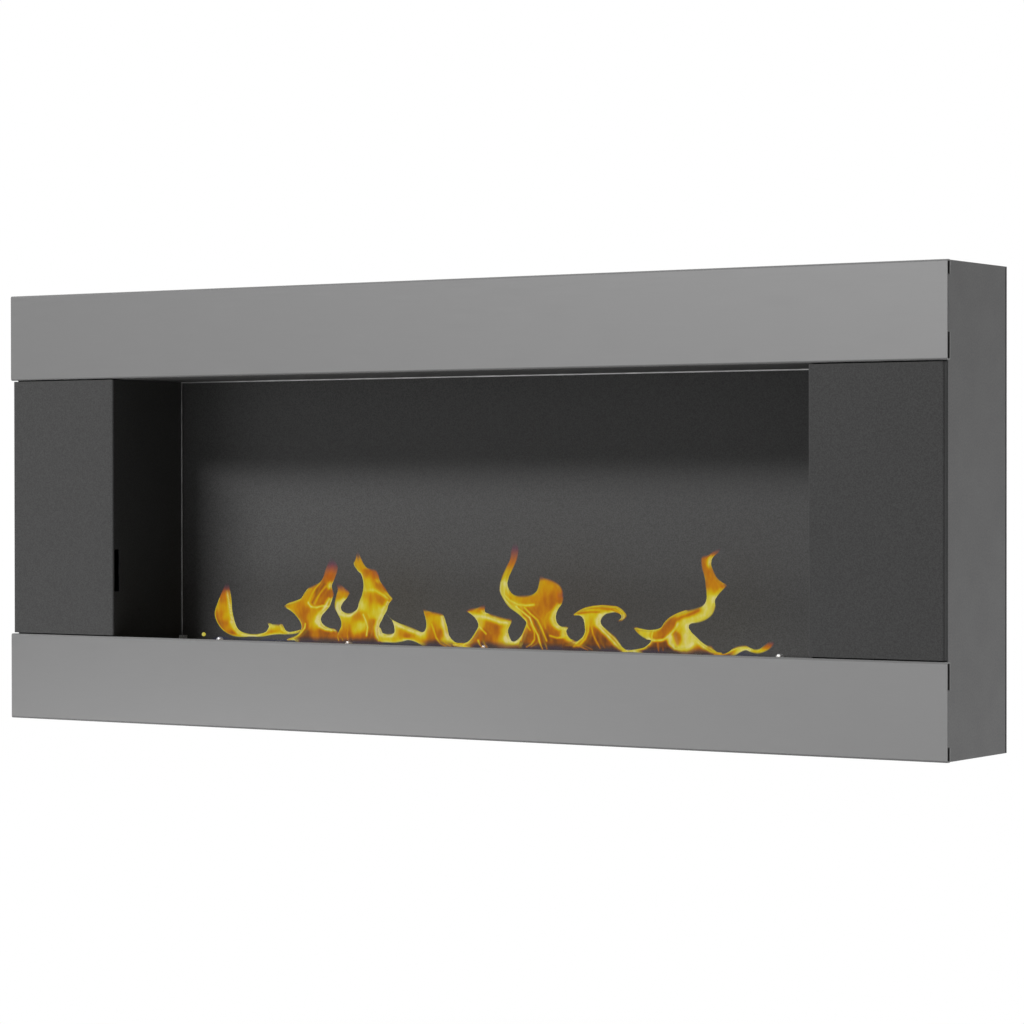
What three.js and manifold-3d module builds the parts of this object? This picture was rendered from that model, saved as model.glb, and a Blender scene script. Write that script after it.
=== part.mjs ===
// A wall-hung bioethanol fireplace in folded sheet steel: a satin grey casing, two proud fascia
// bands, two dark columns whose cheeks line the firebox, and a lift-out linear burner with a
// sliding flame shutter. Millimetres, +Z up, +Y into the wall, the room on the -Y side.
// The origin is the middle of the rear face, where the unit meets the wall.
import * as THREE from 'three';
import { mergeVertices } from 'three/addons/utils/BufferGeometryUtils.js';
import Module from 'manifold-3d';

const wasm = await Module();
wasm.setup();

// Overall size
const WIDTH = 1100; // over the ends of the two bands
const HEIGHT = 450;
const DEPTH = 133; // from the front of the bands to the wall

// Folded sheet
const SHEET = 1.2;
const BEND = 0.6; // inside radius of a fold
const BEND_STEPS = 3; // flats that make up one fold
const FIT = 0.3; // gap between two pieces that lie together
const FLANGE = 12; // height of a stiffening flange

// Fascia bands
const BAND_HEIGHT = 90;
const BAND_RETURN = 6.8; // depth of a band from its face to the back of its lips
const BAND_LIP = 12; // along the casing's edge
const BAND_INNER_LIP = 24; // along the firebox opening
const BAND_OVERHANG = 3; // how far a band's end stands past the side panel

// Columns and firebox
const COLUMN_WIDTH = 137; // from the side panel's outer face to the cheek
const COLUMN_SETBACK = 0.5; // column face behind the band face
const COLUMN_GAP = 1.2; // shadow gap above and below a column face
const COLUMN_LIP = 12;
const CHEEK_LIP = 15;
const CHEEK_SLOT_HEIGHT = 44;
const CHEEK_SLOT_DEPTH = 8.5;
const CHEEK_SLOT_RISE = 47; // slot above the bottom band
const CEILING_DROP = 0.8; // ceiling below the top band's lower edge
const BACK_RIM = 2.5; // rim round the firebox back, turned forward
const BACK_AIR = 13.7; // air behind the firebox back
const SHELF_DROP = 10; // shelf below the bottom band's upper edge

// Side panels and hanging points
const SIDE_FLANGE = 18;
const KEYHOLE_INSET = 150; // keyhole's centre from the band's end
const KEYHOLE_ENTRY = 12; // diameter that the wall screw's head goes through
const KEYHOLE_NECK = 6; // width that holds the screw's neck
const KEYHOLE_RISE = 17; // from the entry's centre to the neck's
const KEYHOLE_ABOVE_BAND = 35; // entry's centre above the top band's lower edge
const HANGER_THICKNESS = 2;
const HANGER_WIDTH = 40;
const HANGER_HEIGHT = 50;
const PROP_INSET = 80; // prop under the shelf from the band's end
const PROP_LENGTH = 60;

// Burner
const BURNER_SHEET = 1.5;
const BURNER_END_GAP = 25; // between the end of the deck and the cheek
const TANK_HEIGHT = 64;
const TANK_LEAD = 10; // tank's front wall ahead of the flame slot
const TANK_TRAIL = 20; // tank's rear wall behind the guide studs
const CUTOUT_CLEARANCE = 3; // shelf cut-out round the tank
const DECK_OVERLAP_ENDS = 29; // deck resting on the shelf past each end of the cut-out
const DECK_OVERLAP_SIDES = 4;
const SLOT_WIDTH = 18;
const SLOT_END_INSET = 16; // end of the flame slot from the tank's end
const FIBRE_HEIGHT = 50;
const GAUZE_SHEET = 1;
const GAUZE_HOLES = 16;
const GAUZE_HOLE_SHARE = 0.6; // of the hole pitch
const GAUZE_HOLE_WIDTH = 14;
const TAB_LENGTH = 12;
const TAB_HEIGHT = 7;

// Flame shutter and its guides
const SHUTTER_SHEET = 1.2;
const SHUTTER_LAP = 2; // cover past each edge of the flame slot when shut
const SHUTTER_OPEN_LAP = 1; // shutter's front edge behind the slot when open
const SHUTTER_END_LAP = 9;
const SHUTTER_EDGE = 3.3; // metal left behind the guide slots
const SHUTTER_BACK_GAP = 4; // between the open shutter and the firebox back
const GUIDE_COUNT = 5;
const GUIDE_END_INSET = 2; // outer guides from the ends of the flame slot
const GUIDE_FROM_SLOT = 14; // guide studs behind the flame slot's rear edge
const STUD_DIAMETER = 6;
const STUD_CLEARANCE = 0.6;
const THREAD_DIAMETER = 4;
const WASHER_DIAMETER = 10;
const WASHER_THICKNESS = 0.8;
const NUT_ACROSS = 7; // across the flats
const NUT_HEX_HEIGHT = 2.2;
const NUT_HEIGHT = 3.8;
const THREAD_CLEARANCE = 0.3;
const KNOB_INSET = 95; // from the shutter's end
const KNOB_DIAMETER = 7;
const KNOB_NECK = 4;
const KNOB_HEIGHT = 3.3;
const KNOB_FROM_EDGE = 4;

// Panel screws
const SCREW_DIAMETER = 3.8;
const SCREW_HOLE = 4.4;
const SCREW_HEAD = 7.6;
const SCREW_HEAD_HEIGHT = 2.4;
const SCREW_LENGTH = 6;
const BAND_SCREWS = 3; // in each lip of a band
const BAND_SCREW_INSET = 70; // outer screws from the band's ends
const COLUMN_SCREW_INSET = 55; // from the column's top and bottom

const ROUND = 12; // sides of a small round piece

// Places that several pieces share. d is the distance behind the face of the bands.
const caseHalf = WIDTH / 2 - BAND_OVERHANG;
const caseFront = BAND_RETURN + FIT;
const caseBack = DEPTH - SHEET - FIT;
const linerHalf = caseHalf - SIDE_FLANGE - FIT; // shelf and ceiling end between the side flanges
const openingHalf = caseHalf - COLUMN_WIDTH;
const bandTop = BAND_HEIGHT; // upper edge of the bottom band
const bandBottom = HEIGHT - BAND_HEIGHT; // lower edge of the top band
const shelfTop = bandTop - SHELF_DROP;
const ceilingFace = bandBottom - CEILING_DROP;
const backFace = DEPTH - SHEET - BACK_AIR - SHEET;

// the burner's depth is worked out forward from the firebox back
const shutterTravel = SLOT_WIDTH + SHUTTER_LAP + SHUTTER_OPEN_LAP;
const guideSlotHalf = STUD_DIAMETER / 2 + STUD_CLEARANCE;
const shutterBack = backFace - SHUTTER_BACK_GAP;
const guideSlotBack = shutterBack - SHUTTER_EDGE;
const guideDepth = guideSlotBack - shutterTravel - guideSlotHalf;
const slotBack = guideDepth - GUIDE_FROM_SLOT;
const slotFront = slotBack - SLOT_WIDTH;
const shutterFront = slotBack + SHUTTER_OPEN_LAP;
const tankFront = slotFront - TANK_LEAD;
const tankBack = guideDepth + TANK_TRAIL;
const cutoutFront = tankFront - CUTOUT_CLEARANCE;
const cutoutBack = tankBack + CUTOUT_CLEARANCE;
const deckFront = cutoutFront - DECK_OVERLAP_SIDES;
const deckBack = cutoutBack + DECK_OVERLAP_SIDES;

// and its length inward from the cheeks
const deckHalf = openingHalf - BURNER_END_GAP;
const cutoutHalf = deckHalf - DECK_OVERLAP_ENDS;
const tankHalf = cutoutHalf - CUTOUT_CLEARANCE;
const slotHalf = tankHalf - SLOT_END_INSET;
const shutterHalf = slotHalf + SHUTTER_END_LAP;
const guidePitch = (2 * (slotHalf - GUIDE_END_INSET)) / (GUIDE_COUNT - 1);

const deckBottom = shelfTop + FIT;
const deckTop = deckBottom + BURNER_SHEET;
const tankTop = deckBottom - FIT;
const tankBottom = tankTop - TANK_HEIGHT;
const fibreBottom = tankBottom + BURNER_SHEET + FIT;
const gauzeBottom = fibreBottom + FIBRE_HEIGHT + FIT;

const shutterBottom = deckTop + FIT;
const shutterTop = shutterBottom + SHUTTER_SHEET;
const shoulderTop = shutterTop + FIT;
const washerTop = shoulderTop + WASHER_THICKNESS;

// Materials
const finish = (color, roughness, metalness) =>
  new THREE.MeshStandardMaterial({ color, roughness, metalness });
const greyPaint = finish(0x77787a, 0.5, 0.3);
const brushedSteel = finish(0x9a9a9b, 0.35, 0.8);
const sandBlack = finish(0x3c3c3d, 0.85, 0.1);
const stainless = finish(0xb4b5b6, 0.3, 0.9);
const chrome = finish(0xd9dadb, 0.12, 1.0);
const zinc = finish(0xa3a6a8, 0.4, 0.8);
const fibre = finish(0xe9e6de, 1.0, 0.0);

// ---- geometry helpers ----

// Turns a closed three.js geometry into a solid that can be joined and cut.
function solid(geometry) {
  const plain = geometry.clone();
  plain.deleteAttribute('normal');
  plain.deleteAttribute('uv');
  const merged = mergeVertices(plain, 1e-4);
  return new wasm.Manifold(
    new wasm.Mesh({
      numProp: 3,
      vertProperties: new Float32Array(merged.attributes.position.array),
      triVerts: new Uint32Array(merged.index.array),
    })
  );
}

// A solid as a named mesh.
function piece(name, body, material) {
  const data = body.getMesh();
  const geometry = new THREE.BufferGeometry();
  geometry.setAttribute('position', new THREE.BufferAttribute(data.vertProperties, 3));
  geometry.setIndex(new THREE.BufferAttribute(data.triVerts, 1));
  geometry.computeVertexNormals();
  const mesh = new THREE.Mesh(geometry, material);
  mesh.name = name;
  return mesh;
}

// A box given by its limits: x, d behind the band face, and z above the unit's underside.
function box(x0, x1, d0, d1, z0, z1) {
  const geometry = new THREE.BoxGeometry(x1 - x0, d1 - d0, z1 - z0);
  geometry.translate((x0 + x1) / 2, (d0 + d1) / 2 - DEPTH, (z0 + z1) / 2);
  return solid(geometry);
}

// The same box on the other side of the unit's middle when side is -1.
function sideBox(side, x0, x1, d0, d1, z0, z1) {
  return side > 0 ? box(x0, x1, d0, d1, z0, z1) : box(-x1, -x0, d0, d1, z0, z1);
}

function extrude(points, depth) {
  const shape = new THREE.Shape(points.map(([u, v]) => new THREE.Vector2(u, v)));
  return new THREE.ExtrudeGeometry(shape, { depth, bevelEnabled: false });
}

// An outline in (d, z), drawn out along x.
function alongX(points, x0, x1) {
  const geometry = extrude(points, x1 - x0);
  geometry.applyMatrix4(new THREE.Matrix4().set(0, 0, 1, x0, 1, 0, 0, -DEPTH, 0, 1, 0, 0, 0, 0, 0, 1));
  return solid(geometry);
}

// An outline in (x, d), drawn up along z.
function alongZ(points, z0, z1) {
  const geometry = extrude(points, z1 - z0);
  geometry.translate(0, -DEPTH, z0);
  return solid(geometry);
}

// An outline in (x, z), drawn from depth d0 back to d1.
function alongD(points, d0, d1) {
  const geometry = extrude(points, d1 - d0);
  geometry.rotateX(Math.PI / 2);
  geometry.translate(0, d1 - DEPTH, 0);
  return solid(geometry);
}

// A turned piece on a vertical axis; its profile lists [radius, z] and closes on the axis or itself.
function turned(profile, x, d, sides = ROUND) {
  const points = profile.map(([radius, z]) => new THREE.Vector2(radius, z));
  const geometry = new THREE.LatheGeometry(points, sides);
  geometry.rotateX(Math.PI / 2);
  geometry.translate(x, d - DEPTH, 0);
  return solid(geometry);
}

// A turned piece on an axis that runs into the wall; its profile lists [radius, d].
function turnedAlongD(profile, x, z, sides = ROUND) {
  const points = profile.map(([radius, depth]) => new THREE.Vector2(radius, depth));
  const geometry = new THREE.LatheGeometry(points, sides);
  geometry.translate(x, -DEPTH, z);
  return solid(geometry);
}

function arc(cx, cy, radius, from, to, steps) {
  return Array.from({ length: steps + 1 }, (_, i) => {
    const angle = from + ((to - from) * i) / steps;
    return [cx + radius * Math.cos(angle), cy + radius * Math.sin(angle)];
  });
}

// Outline of folded sheet. The path runs along one face, the sheet lies on its right, and every
// corner becomes a fold of inside radius BEND.
function folded(path, thickness = SHEET) {
  const near = [path[0]];
  const first = direction(path[0], path[1]);
  const far = [[path[0][0] + first[1] * thickness, path[0][1] - first[0] * thickness]];
  for (let i = 1; i < path.length - 1; i++) {
    const a = direction(path[i - 1], path[i]);
    const b = direction(path[i], path[i + 1]);
    const turn = Math.sign(a[0] * b[1] - a[1] * b[0]); // 1 to the left, -1 to the right
    const nearRadius = turn > 0 ? BEND : BEND + thickness;
    const farRadius = turn > 0 ? BEND + thickness : BEND;
    const cx = path[i][0] - a[0] * nearRadius - a[1] * nearRadius * turn;
    const cy = path[i][1] - a[1] * nearRadius + a[0] * nearRadius * turn;
    const start = Math.atan2(-a[0] * turn, a[1] * turn);
    const end = start + (turn * Math.PI) / 2;
    near.push(...arc(cx, cy, nearRadius, start, end, BEND_STEPS));
    far.push(...arc(cx, cy, farRadius, start, end, BEND_STEPS));
  }
  const last = path[path.length - 1];
  const final = direction(path[path.length - 2], last);
  near.push(last);
  far.push([last[0] + final[1] * thickness, last[1] - final[0] * thickness]);
  return [...near, ...far.reverse()];
}

function direction(from, to) {
  const length = Math.hypot(to[0] - from[0], to[1] - from[1]);
  return [(to[0] - from[0]) / length, (to[1] - from[1]) / length];
}

// An outline or a path seen in the unit's middle plane, when side is -1.
function onSide(side, points) {
  return side > 0 ? points : points.map(([x, v]) => [-x, v]).reverse();
}

// A row of evenly pitched places, centred on the unit's middle.
function row(count, pitch) {
  return Array.from({ length: count }, (_, i) => (i - (count - 1) / 2) * pitch);
}

// A slot with round ends in (x, d), long way along d.
function guideSlot(x, d0, d1, half) {
  const steps = ROUND / 2;
  return [
    ...arc(x, d1 - half, half, 0, Math.PI, steps),
    ...arc(x, d0 + half, half, Math.PI, 2 * Math.PI, steps),
  ];
}

// ---- panel screws ----

// Every screw comes from inside the casing, through a casing flange and into a lip.
const flangeMiddle = SHEET + FLANGE / 2;
const bandScrewHeights = {
  top_band_upper: HEIGHT - flangeMiddle,
  top_band_lower: ceilingFace + flangeMiddle,
  bottom_band_upper: shelfTop - flangeMiddle,
  bottom_band_lower: flangeMiddle,
};
const bandScrewPitch = (WIDTH - 2 * BAND_SCREW_INSET) / (BAND_SCREWS - 1);
const bandScrewPlaces = row(BAND_SCREWS, bandScrewPitch);
const columnScrewX = caseHalf - COLUMN_LIP / 2 - SHEET / 2;
const columnScrewHeights = [bandTop + COLUMN_SCREW_INSET, bandBottom - COLUMN_SCREW_INSET];

function screwHole(x, z) {
  const radius = SCREW_HOLE / 2;
  const profile = [
    [0, BAND_RETURN - 2 * SHEET],
    [radius, BAND_RETURN - 2 * SHEET],
    [radius, caseFront + 2 * SHEET],
    [0, caseFront + 2 * SHEET],
  ];
  return turnedAlongD(profile, x, z);
}

function screw(name, x, z) {
  const under = caseFront + SHEET + FIT;
  const crown = under + SCREW_HEAD_HEIGHT;
  const profile = [
    [0, under - SCREW_LENGTH],
    [SCREW_DIAMETER / 2, under - SCREW_LENGTH],
    [SCREW_DIAMETER / 2, under],
    [SCREW_HEAD / 2, under],
    [SCREW_HEAD / 2, under + SCREW_HEAD_HEIGHT * 0.5],
    [SCREW_HEAD / 3, crown],
    [0, crown],
  ];
  return piece(name, turnedAlongD(profile, x, z), zinc);
}

function drill(body, holes) {
  return holes.reduce((left, [x, z]) => left.subtract(screwHole(x, z)), body);
}

const bandHoles = (heights) => heights.flatMap((z) => bandScrewPlaces.map((x) => [x, z]));

function panelScrews() {
  const screws = [];
  for (const [label, z] of Object.entries(bandScrewHeights)) {
    bandScrewPlaces.forEach((x, i) => screws.push(screw(`${label}_screw_${i + 1}`, x, z)));
  }
  for (const [label, side] of [['left', -1], ['right', 1]]) {
    columnScrewHeights.forEach((z, i) =>
      screws.push(screw(`${label}_column_screw_${i + 1}`, side * columnScrewX, z))
    );
  }
  return screws;
}

// ---- casing ----

function sidePanel(name, side) {
  const inner = caseHalf - SIDE_FLANGE;
  const path = [[inner, caseBack], [caseHalf, caseBack], [caseHalf, caseFront], [inner, caseFront]];
  let body = alongZ(folded(onSide(side, path)), 0, HEIGHT);
  // the flanges stop short of the top and bottom panels
  const inside = caseHalf - SHEET - FIT / 2;
  for (const [z0, z1] of [[-1, SHEET + FIT], [HEIGHT - SHEET - FIT, HEIGHT + 1]]) {
    body = body.subtract(sideBox(side, inner - 1, inside, 0, DEPTH, z0, z1));
  }
  return piece(name, drill(body, columnScrewHeights.map((z) => [side * columnScrewX, z])), greyPaint);
}

// The top panel, or the bottom one as its reflection.
function lidPanel(name, face, into, screwHeight) {
  const half = caseHalf - SHEET - FIT;
  const end = face + into * (FLANGE + SHEET);
  const path = [[caseFront, end], [caseFront, face], [caseBack, face], [caseBack, end]];
  let body = alongX(folded(into < 0 ? path : path.reverse()), -half, half);
  const under = face + into * (SHEET + FIT);
  const low = Math.min(under, end + into);
  const high = Math.max(under, end + into);
  for (const side of [-1, 1]) {
    body = body.subtract(sideBox(side, linerHalf, half + 1, 0, DEPTH, low, high));
  }
  return piece(name, drill(body, bandHoles([screwHeight])), greyPaint);
}

// A keyhole in (x, z): a round entry below a narrow neck.
function keyhole(x) {
  const entry = KEYHOLE_ENTRY / 2;
  const neck = KEYHOLE_NECK / 2;
  const z = bandBottom + KEYHOLE_ABOVE_BAND;
  const opening = Math.asin(neck / entry);
  return [
    ...arc(x, z, entry, Math.PI / 2 + opening, (5 * Math.PI) / 2 - opening, ROUND),
    ...arc(x, z + KEYHOLE_RISE, neck, 0, Math.PI, ROUND / 2),
  ];
}

const keyholePlaces = row(2, WIDTH - 2 * KEYHOLE_INSET);

function rearPanel() {
  let body = box(-caseHalf, caseHalf, DEPTH - SHEET, DEPTH, 0, HEIGHT);
  for (const x of keyholePlaces) {
    body = body.subtract(alongD(keyhole(x), DEPTH - 2 * SHEET, DEPTH + SHEET));
  }
  return piece('rear_panel', body, greyPaint);
}

function hangerPlate(name, x) {
  const middle = bandBottom + KEYHOLE_ABOVE_BAND + KEYHOLE_RISE / 2;
  const front = caseBack - HANGER_THICKNESS;
  const half = HANGER_WIDTH / 2;
  const body = box(
    x - half, x + half, front, caseBack, middle - HANGER_HEIGHT / 2, middle + HANGER_HEIGHT / 2
  );
  return piece(name, body.subtract(alongD(keyhole(x), front - 1, caseBack + 1)), zinc);
}

// A folded prop that stands on the bottom panel and carries the shelf.
function shelfProp(name, side) {
  const x = WIDTH / 2 - PROP_INSET;
  const front = DEPTH / 2 - PROP_LENGTH / 2;
  const back = DEPTH / 2 + PROP_LENGTH / 2;
  const path = [[x + FLANGE, back], [x, back], [x, front], [x + FLANGE, front]];
  const outline = folded(onSide(side, path.reverse()));
  return piece(name, alongZ(outline, SHEET + FIT, shelfTop - SHEET - FIT), zinc);
}

// ---- fascia bands ----

function band(name, low, lowLip, highLip, screwHeights) {
  const high = low + BAND_HEIGHT;
  const path = [
    [BAND_RETURN, low + SHEET + lowLip],
    [BAND_RETURN, low],
    [0, low],
    [0, high],
    [BAND_RETURN, high],
    [BAND_RETURN, high - SHEET - highLip],
  ];
  const body = alongX(folded(path), -WIDTH / 2, WIDTH / 2);
  return piece(name, drill(body, bandHoles(screwHeights)), brushedSteel);
}

function bands() {
  const screws = bandScrewHeights;
  return [
    band('top_band', bandBottom, BAND_INNER_LIP, BAND_LIP, [screws.top_band_upper, screws.top_band_lower]),
    band('bottom_band', 0, BAND_LIP, BAND_INNER_LIP, [screws.bottom_band_upper, screws.bottom_band_lower]),
  ];
}

// ---- columns and firebox ----

// One folded sheet: outer return, face, cheek and rear lip.
function columnPanel(name, side) {
  const path = [
    [caseHalf - COLUMN_LIP - SHEET, BAND_RETURN],
    [caseHalf, BAND_RETURN],
    [caseHalf, COLUMN_SETBACK],
    [openingHalf, COLUMN_SETBACK],
    [openingHalf, caseBack],
    [openingHalf + CHEEK_LIP, caseBack],
  ];
  const bottom = shelfTop + FIT;
  const faceBottom = bandTop + COLUMN_GAP;
  const faceTop = bandBottom - COLUMN_GAP;
  let body = alongZ(folded(onSide(side, path)), bottom, faceTop);
  // the face starts above the bottom band, and the cheek ends under the ceiling
  body = body.subtract(box(-WIDTH, WIDTH, -1, caseFront, bottom - 1, faceBottom));
  body = body.subtract(box(-WIDTH, WIDTH, BAND_RETURN, DEPTH, ceilingFace - FIT, faceTop + 1));
  const slotStart = COLUMN_SETBACK + BEND + SHEET;
  const slotLow = bandTop + CHEEK_SLOT_RISE;
  body = body.subtract(
    sideBox(
      side, openingHalf - 1, openingHalf + 2 * SHEET,
      slotStart, slotStart + CHEEK_SLOT_DEPTH, slotLow, slotLow + CHEEK_SLOT_HEIGHT
    )
  );
  return piece(name, drill(body, columnScrewHeights.map((z) => [side * columnScrewX, z])), sandBlack);
}

function firebox() {
  const half = openingHalf - FIT;
  const low = shelfTop + FIT;
  const high = ceilingFace - FIT;
  const back = box(-half, half, backFace - BACK_RIM, backFace + SHEET, low, high).subtract(
    box(-half + SHEET, half - SHEET, 0, backFace, low + SHEET, high - SHEET)
  );

  const ceilingPath = [
    [caseFront, ceilingFace + SHEET + FLANGE],
    [caseFront, ceilingFace],
    [caseBack, ceilingFace],
    [caseBack, ceilingFace + SHEET + FLANGE],
  ];
  const ceiling = alongX(folded(ceilingPath.reverse()), -linerHalf, linerHalf);

  const shelfPath = [
    [caseFront, shelfTop - SHEET - FLANGE],
    [caseFront, shelfTop],
    [caseBack, shelfTop],
    [caseBack, shelfTop - SHEET - FLANGE],
  ];
  const shelf = alongX(folded(shelfPath), -linerHalf, linerHalf).subtract(
    box(-cutoutHalf, cutoutHalf, cutoutFront, cutoutBack, shelfTop - 5, shelfTop + 5)
  );

  return [
    piece('firebox_back', back, sandBlack),
    piece('firebox_ceiling', drill(ceiling, bandHoles([bandScrewHeights.top_band_lower])), sandBlack),
    piece('firebox_shelf', drill(shelf, bandHoles([bandScrewHeights.bottom_band_upper])), sandBlack),
  ];
}

// ---- burner ----

function burnerTank() {
  const wall = BURNER_SHEET;
  const body = box(-tankHalf, tankHalf, tankFront, tankBack, tankBottom, tankTop).subtract(
    box(
      -tankHalf + wall, tankHalf - wall, tankFront + wall, tankBack - wall,
      tankBottom + wall, tankTop + 1
    )
  );
  return piece('burner_tank', body, stainless);
}

// The deck lies on the shelf round the cut-out. Each end has a folded tab to lift the burner by.
function burnerDeck() {
  let body = box(-deckHalf, deckHalf, deckFront, deckBack, deckBottom, deckTop).subtract(
    box(-slotHalf, slotHalf, slotFront, slotBack, deckBottom - 1, deckTop + 1)
  );
  for (const side of [-1, 1]) {
    body = body.add(
      sideBox(
        side, deckHalf - BURNER_SHEET, deckHalf,
        guideDepth - TAB_LENGTH / 2, guideDepth + TAB_LENGTH / 2, deckBottom, deckTop + TAB_HEIGHT
      )
    );
  }
  return piece('burner_deck', body, stainless);
}

function fibreParts() {
  const inset = BURNER_SHEET + FIT;
  const half = tankHalf - inset;
  const front = tankFront + inset;
  const back = tankBack - inset;
  const pad = box(-half, half, front, back, fibreBottom, fibreBottom + FIBRE_HEIGHT);
  let gauze = box(-half, half, front, back, gauzeBottom, gauzeBottom + GAUZE_SHEET);
  const pitch = (2 * slotHalf) / GAUZE_HOLES;
  const holeHalf = (pitch * GAUZE_HOLE_SHARE) / 2;
  const rowFromMiddle = (back - front) / 4;
  for (const x of row(GAUZE_HOLES, pitch)) {
    for (const side of [-1, 1]) {
      const d = (front + back) / 2 + side * rowFromMiddle;
      gauze = gauze.subtract(
        box(
          x - holeHalf, x + holeHalf, d - GAUZE_HOLE_WIDTH / 2, d + GAUZE_HOLE_WIDTH / 2,
          gauzeBottom - 1, gauzeBottom + GAUZE_SHEET + 1
        )
      );
    }
  }
  return [piece('ceramic_fibre_pad', pad, fibre), piece('fibre_gauze', gauze, stainless)];
}

// The shutter lies open behind the flame slot and slides forward over it.
function flameShutter() {
  let body = box(-shutterHalf, shutterHalf, shutterFront, shutterBack, shutterBottom, shutterTop);
  for (const x of row(GUIDE_COUNT, guidePitch)) {
    const outline = guideSlot(x, guideDepth - guideSlotHalf, guideSlotBack, guideSlotHalf);
    body = body.subtract(alongZ(outline, shutterBottom - 1, shutterTop + 1));
  }
  return piece('flame_shutter', body, stainless);
}

function shutterKnobs() {
  const top = shutterTop + KNOB_HEIGHT;
  const profile = [
    [0, shutterTop],
    [KNOB_NECK / 2, shutterTop],
    [KNOB_NECK / 2, shutterTop + KNOB_HEIGHT * 0.4],
    [KNOB_DIAMETER / 2, shutterTop + KNOB_HEIGHT * 0.55],
    [KNOB_DIAMETER / 2, shutterTop + KNOB_HEIGHT * 0.85],
    [KNOB_DIAMETER / 2 - 0.6, top],
    [0, top],
  ];
  const names = ['shutter_knob_left', 'shutter_knob_right'];
  return row(2, 2 * (shutterHalf - KNOB_INSET)).map((x, i) =>
    piece(names[i], turned(profile, x, shutterFront + KNOB_FROM_EDGE), stainless)
  );
}

// A stud welded to the deck, with a shoulder that the shutter slides past.
function guideStud(name, x) {
  const thread = THREAD_DIAMETER / 2;
  const end = washerTop + NUT_HEX_HEIGHT;
  const profile = [
    [0, deckTop],
    [STUD_DIAMETER / 2, deckTop],
    [STUD_DIAMETER / 2, shoulderTop],
    [thread, shoulderTop],
    [thread, end],
    [0, end],
  ];
  return piece(name, turned(profile, x, guideDepth), stainless);
}

function guideWasher(name, x) {
  const bore = THREAD_DIAMETER / 2 + THREAD_CLEARANCE;
  const profile = [
    [bore, shoulderTop],
    [WASHER_DIAMETER / 2, shoulderTop],
    [WASHER_DIAMETER / 2, washerTop],
    [bore, washerTop],
    [bore, shoulderTop],
  ];
  return piece(name, turned(profile, x, guideDepth, 2 * ROUND), chrome);
}

// A low domed nut: a hexagon under a dome, bored blind from below.
function domeNut(name, x) {
  const domeRadius = NUT_ACROSS / 2;
  const domeRise = NUT_HEIGHT - NUT_HEX_HEIGHT;
  const shoulder = washerTop + NUT_HEX_HEIGHT;
  const hexagon = new THREE.CylinderGeometry(
    NUT_ACROSS / Math.sqrt(3), NUT_ACROSS / Math.sqrt(3), NUT_HEX_HEIGHT, 6
  );
  hexagon.rotateX(Math.PI / 2);
  hexagon.translate(x, guideDepth - DEPTH, washerTop + NUT_HEX_HEIGHT / 2);
  const dome = [[0, shoulder - 1], [domeRadius, shoulder - 1]];
  for (const [c, s] of arc(0, 0, 1, 0, Math.PI / 2, 4)) {
    dome.push([Math.max(0, domeRadius * c), shoulder + domeRise * s]);
  }
  const bore = THREAD_DIAMETER / 2 + THREAD_CLEARANCE;
  const blind = shoulder + THREAD_CLEARANCE;
  const hole = [[0, washerTop - 1], [bore, washerTop - 1], [bore, blind], [0, blind]];
  const body = solid(hexagon)
    .add(turned(dome, x, guideDepth, 2 * ROUND))
    .subtract(turned(hole, x, guideDepth));
  return piece(name, body, chrome);
}

function guides() {
  return row(GUIDE_COUNT, guidePitch).flatMap((x, i) => [
    guideStud(`guide_stud_${i + 1}`, x),
    guideWasher(`guide_washer_${i + 1}`, x),
    domeNut(`dome_nut_${i + 1}`, x),
  ]);
}

// ---- the whole unit ----

const casing = new THREE.Group();
casing.add(
  rearPanel(),
  sidePanel('left_side_panel', -1),
  sidePanel('right_side_panel', 1),
  lidPanel('top_panel', HEIGHT, -1, bandScrewHeights.top_band_upper),
  lidPanel('bottom_panel', 0, 1, bandScrewHeights.bottom_band_lower),
  hangerPlate('left_hanger_plate', keyholePlaces[0]),
  hangerPlate('right_hanger_plate', keyholePlaces[1]),
  shelfProp('left_shelf_prop', -1),
  shelfProp('right_shelf_prop', 1)
);

const front = new THREE.Group();
front.add(
  ...bands(),
  columnPanel('left_column_panel', -1),
  columnPanel('right_column_panel', 1),
  ...firebox(),
  ...panelScrews()
);

const burner = new THREE.Group();
burner.add(burnerTank(), burnerDeck(), ...fibreParts(), ...guides());

const shutter = new THREE.Group();
shutter.add(flameShutter(), ...shutterKnobs());

const fireplace = new THREE.Group();
fireplace.add(casing, front, burner, shutter);
fireplace.position.set(0, 0, -HEIGHT / 2);

export default fireplace;
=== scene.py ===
"""The looks of a wall-hung bioethanol fireplace: metal and paint finishes, flames, small hardware."""
import math

import bmesh
import bpy
from mathutils import Matrix, Vector, noise
from mathutils.geometry import delaunay_2d_cdt


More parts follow.
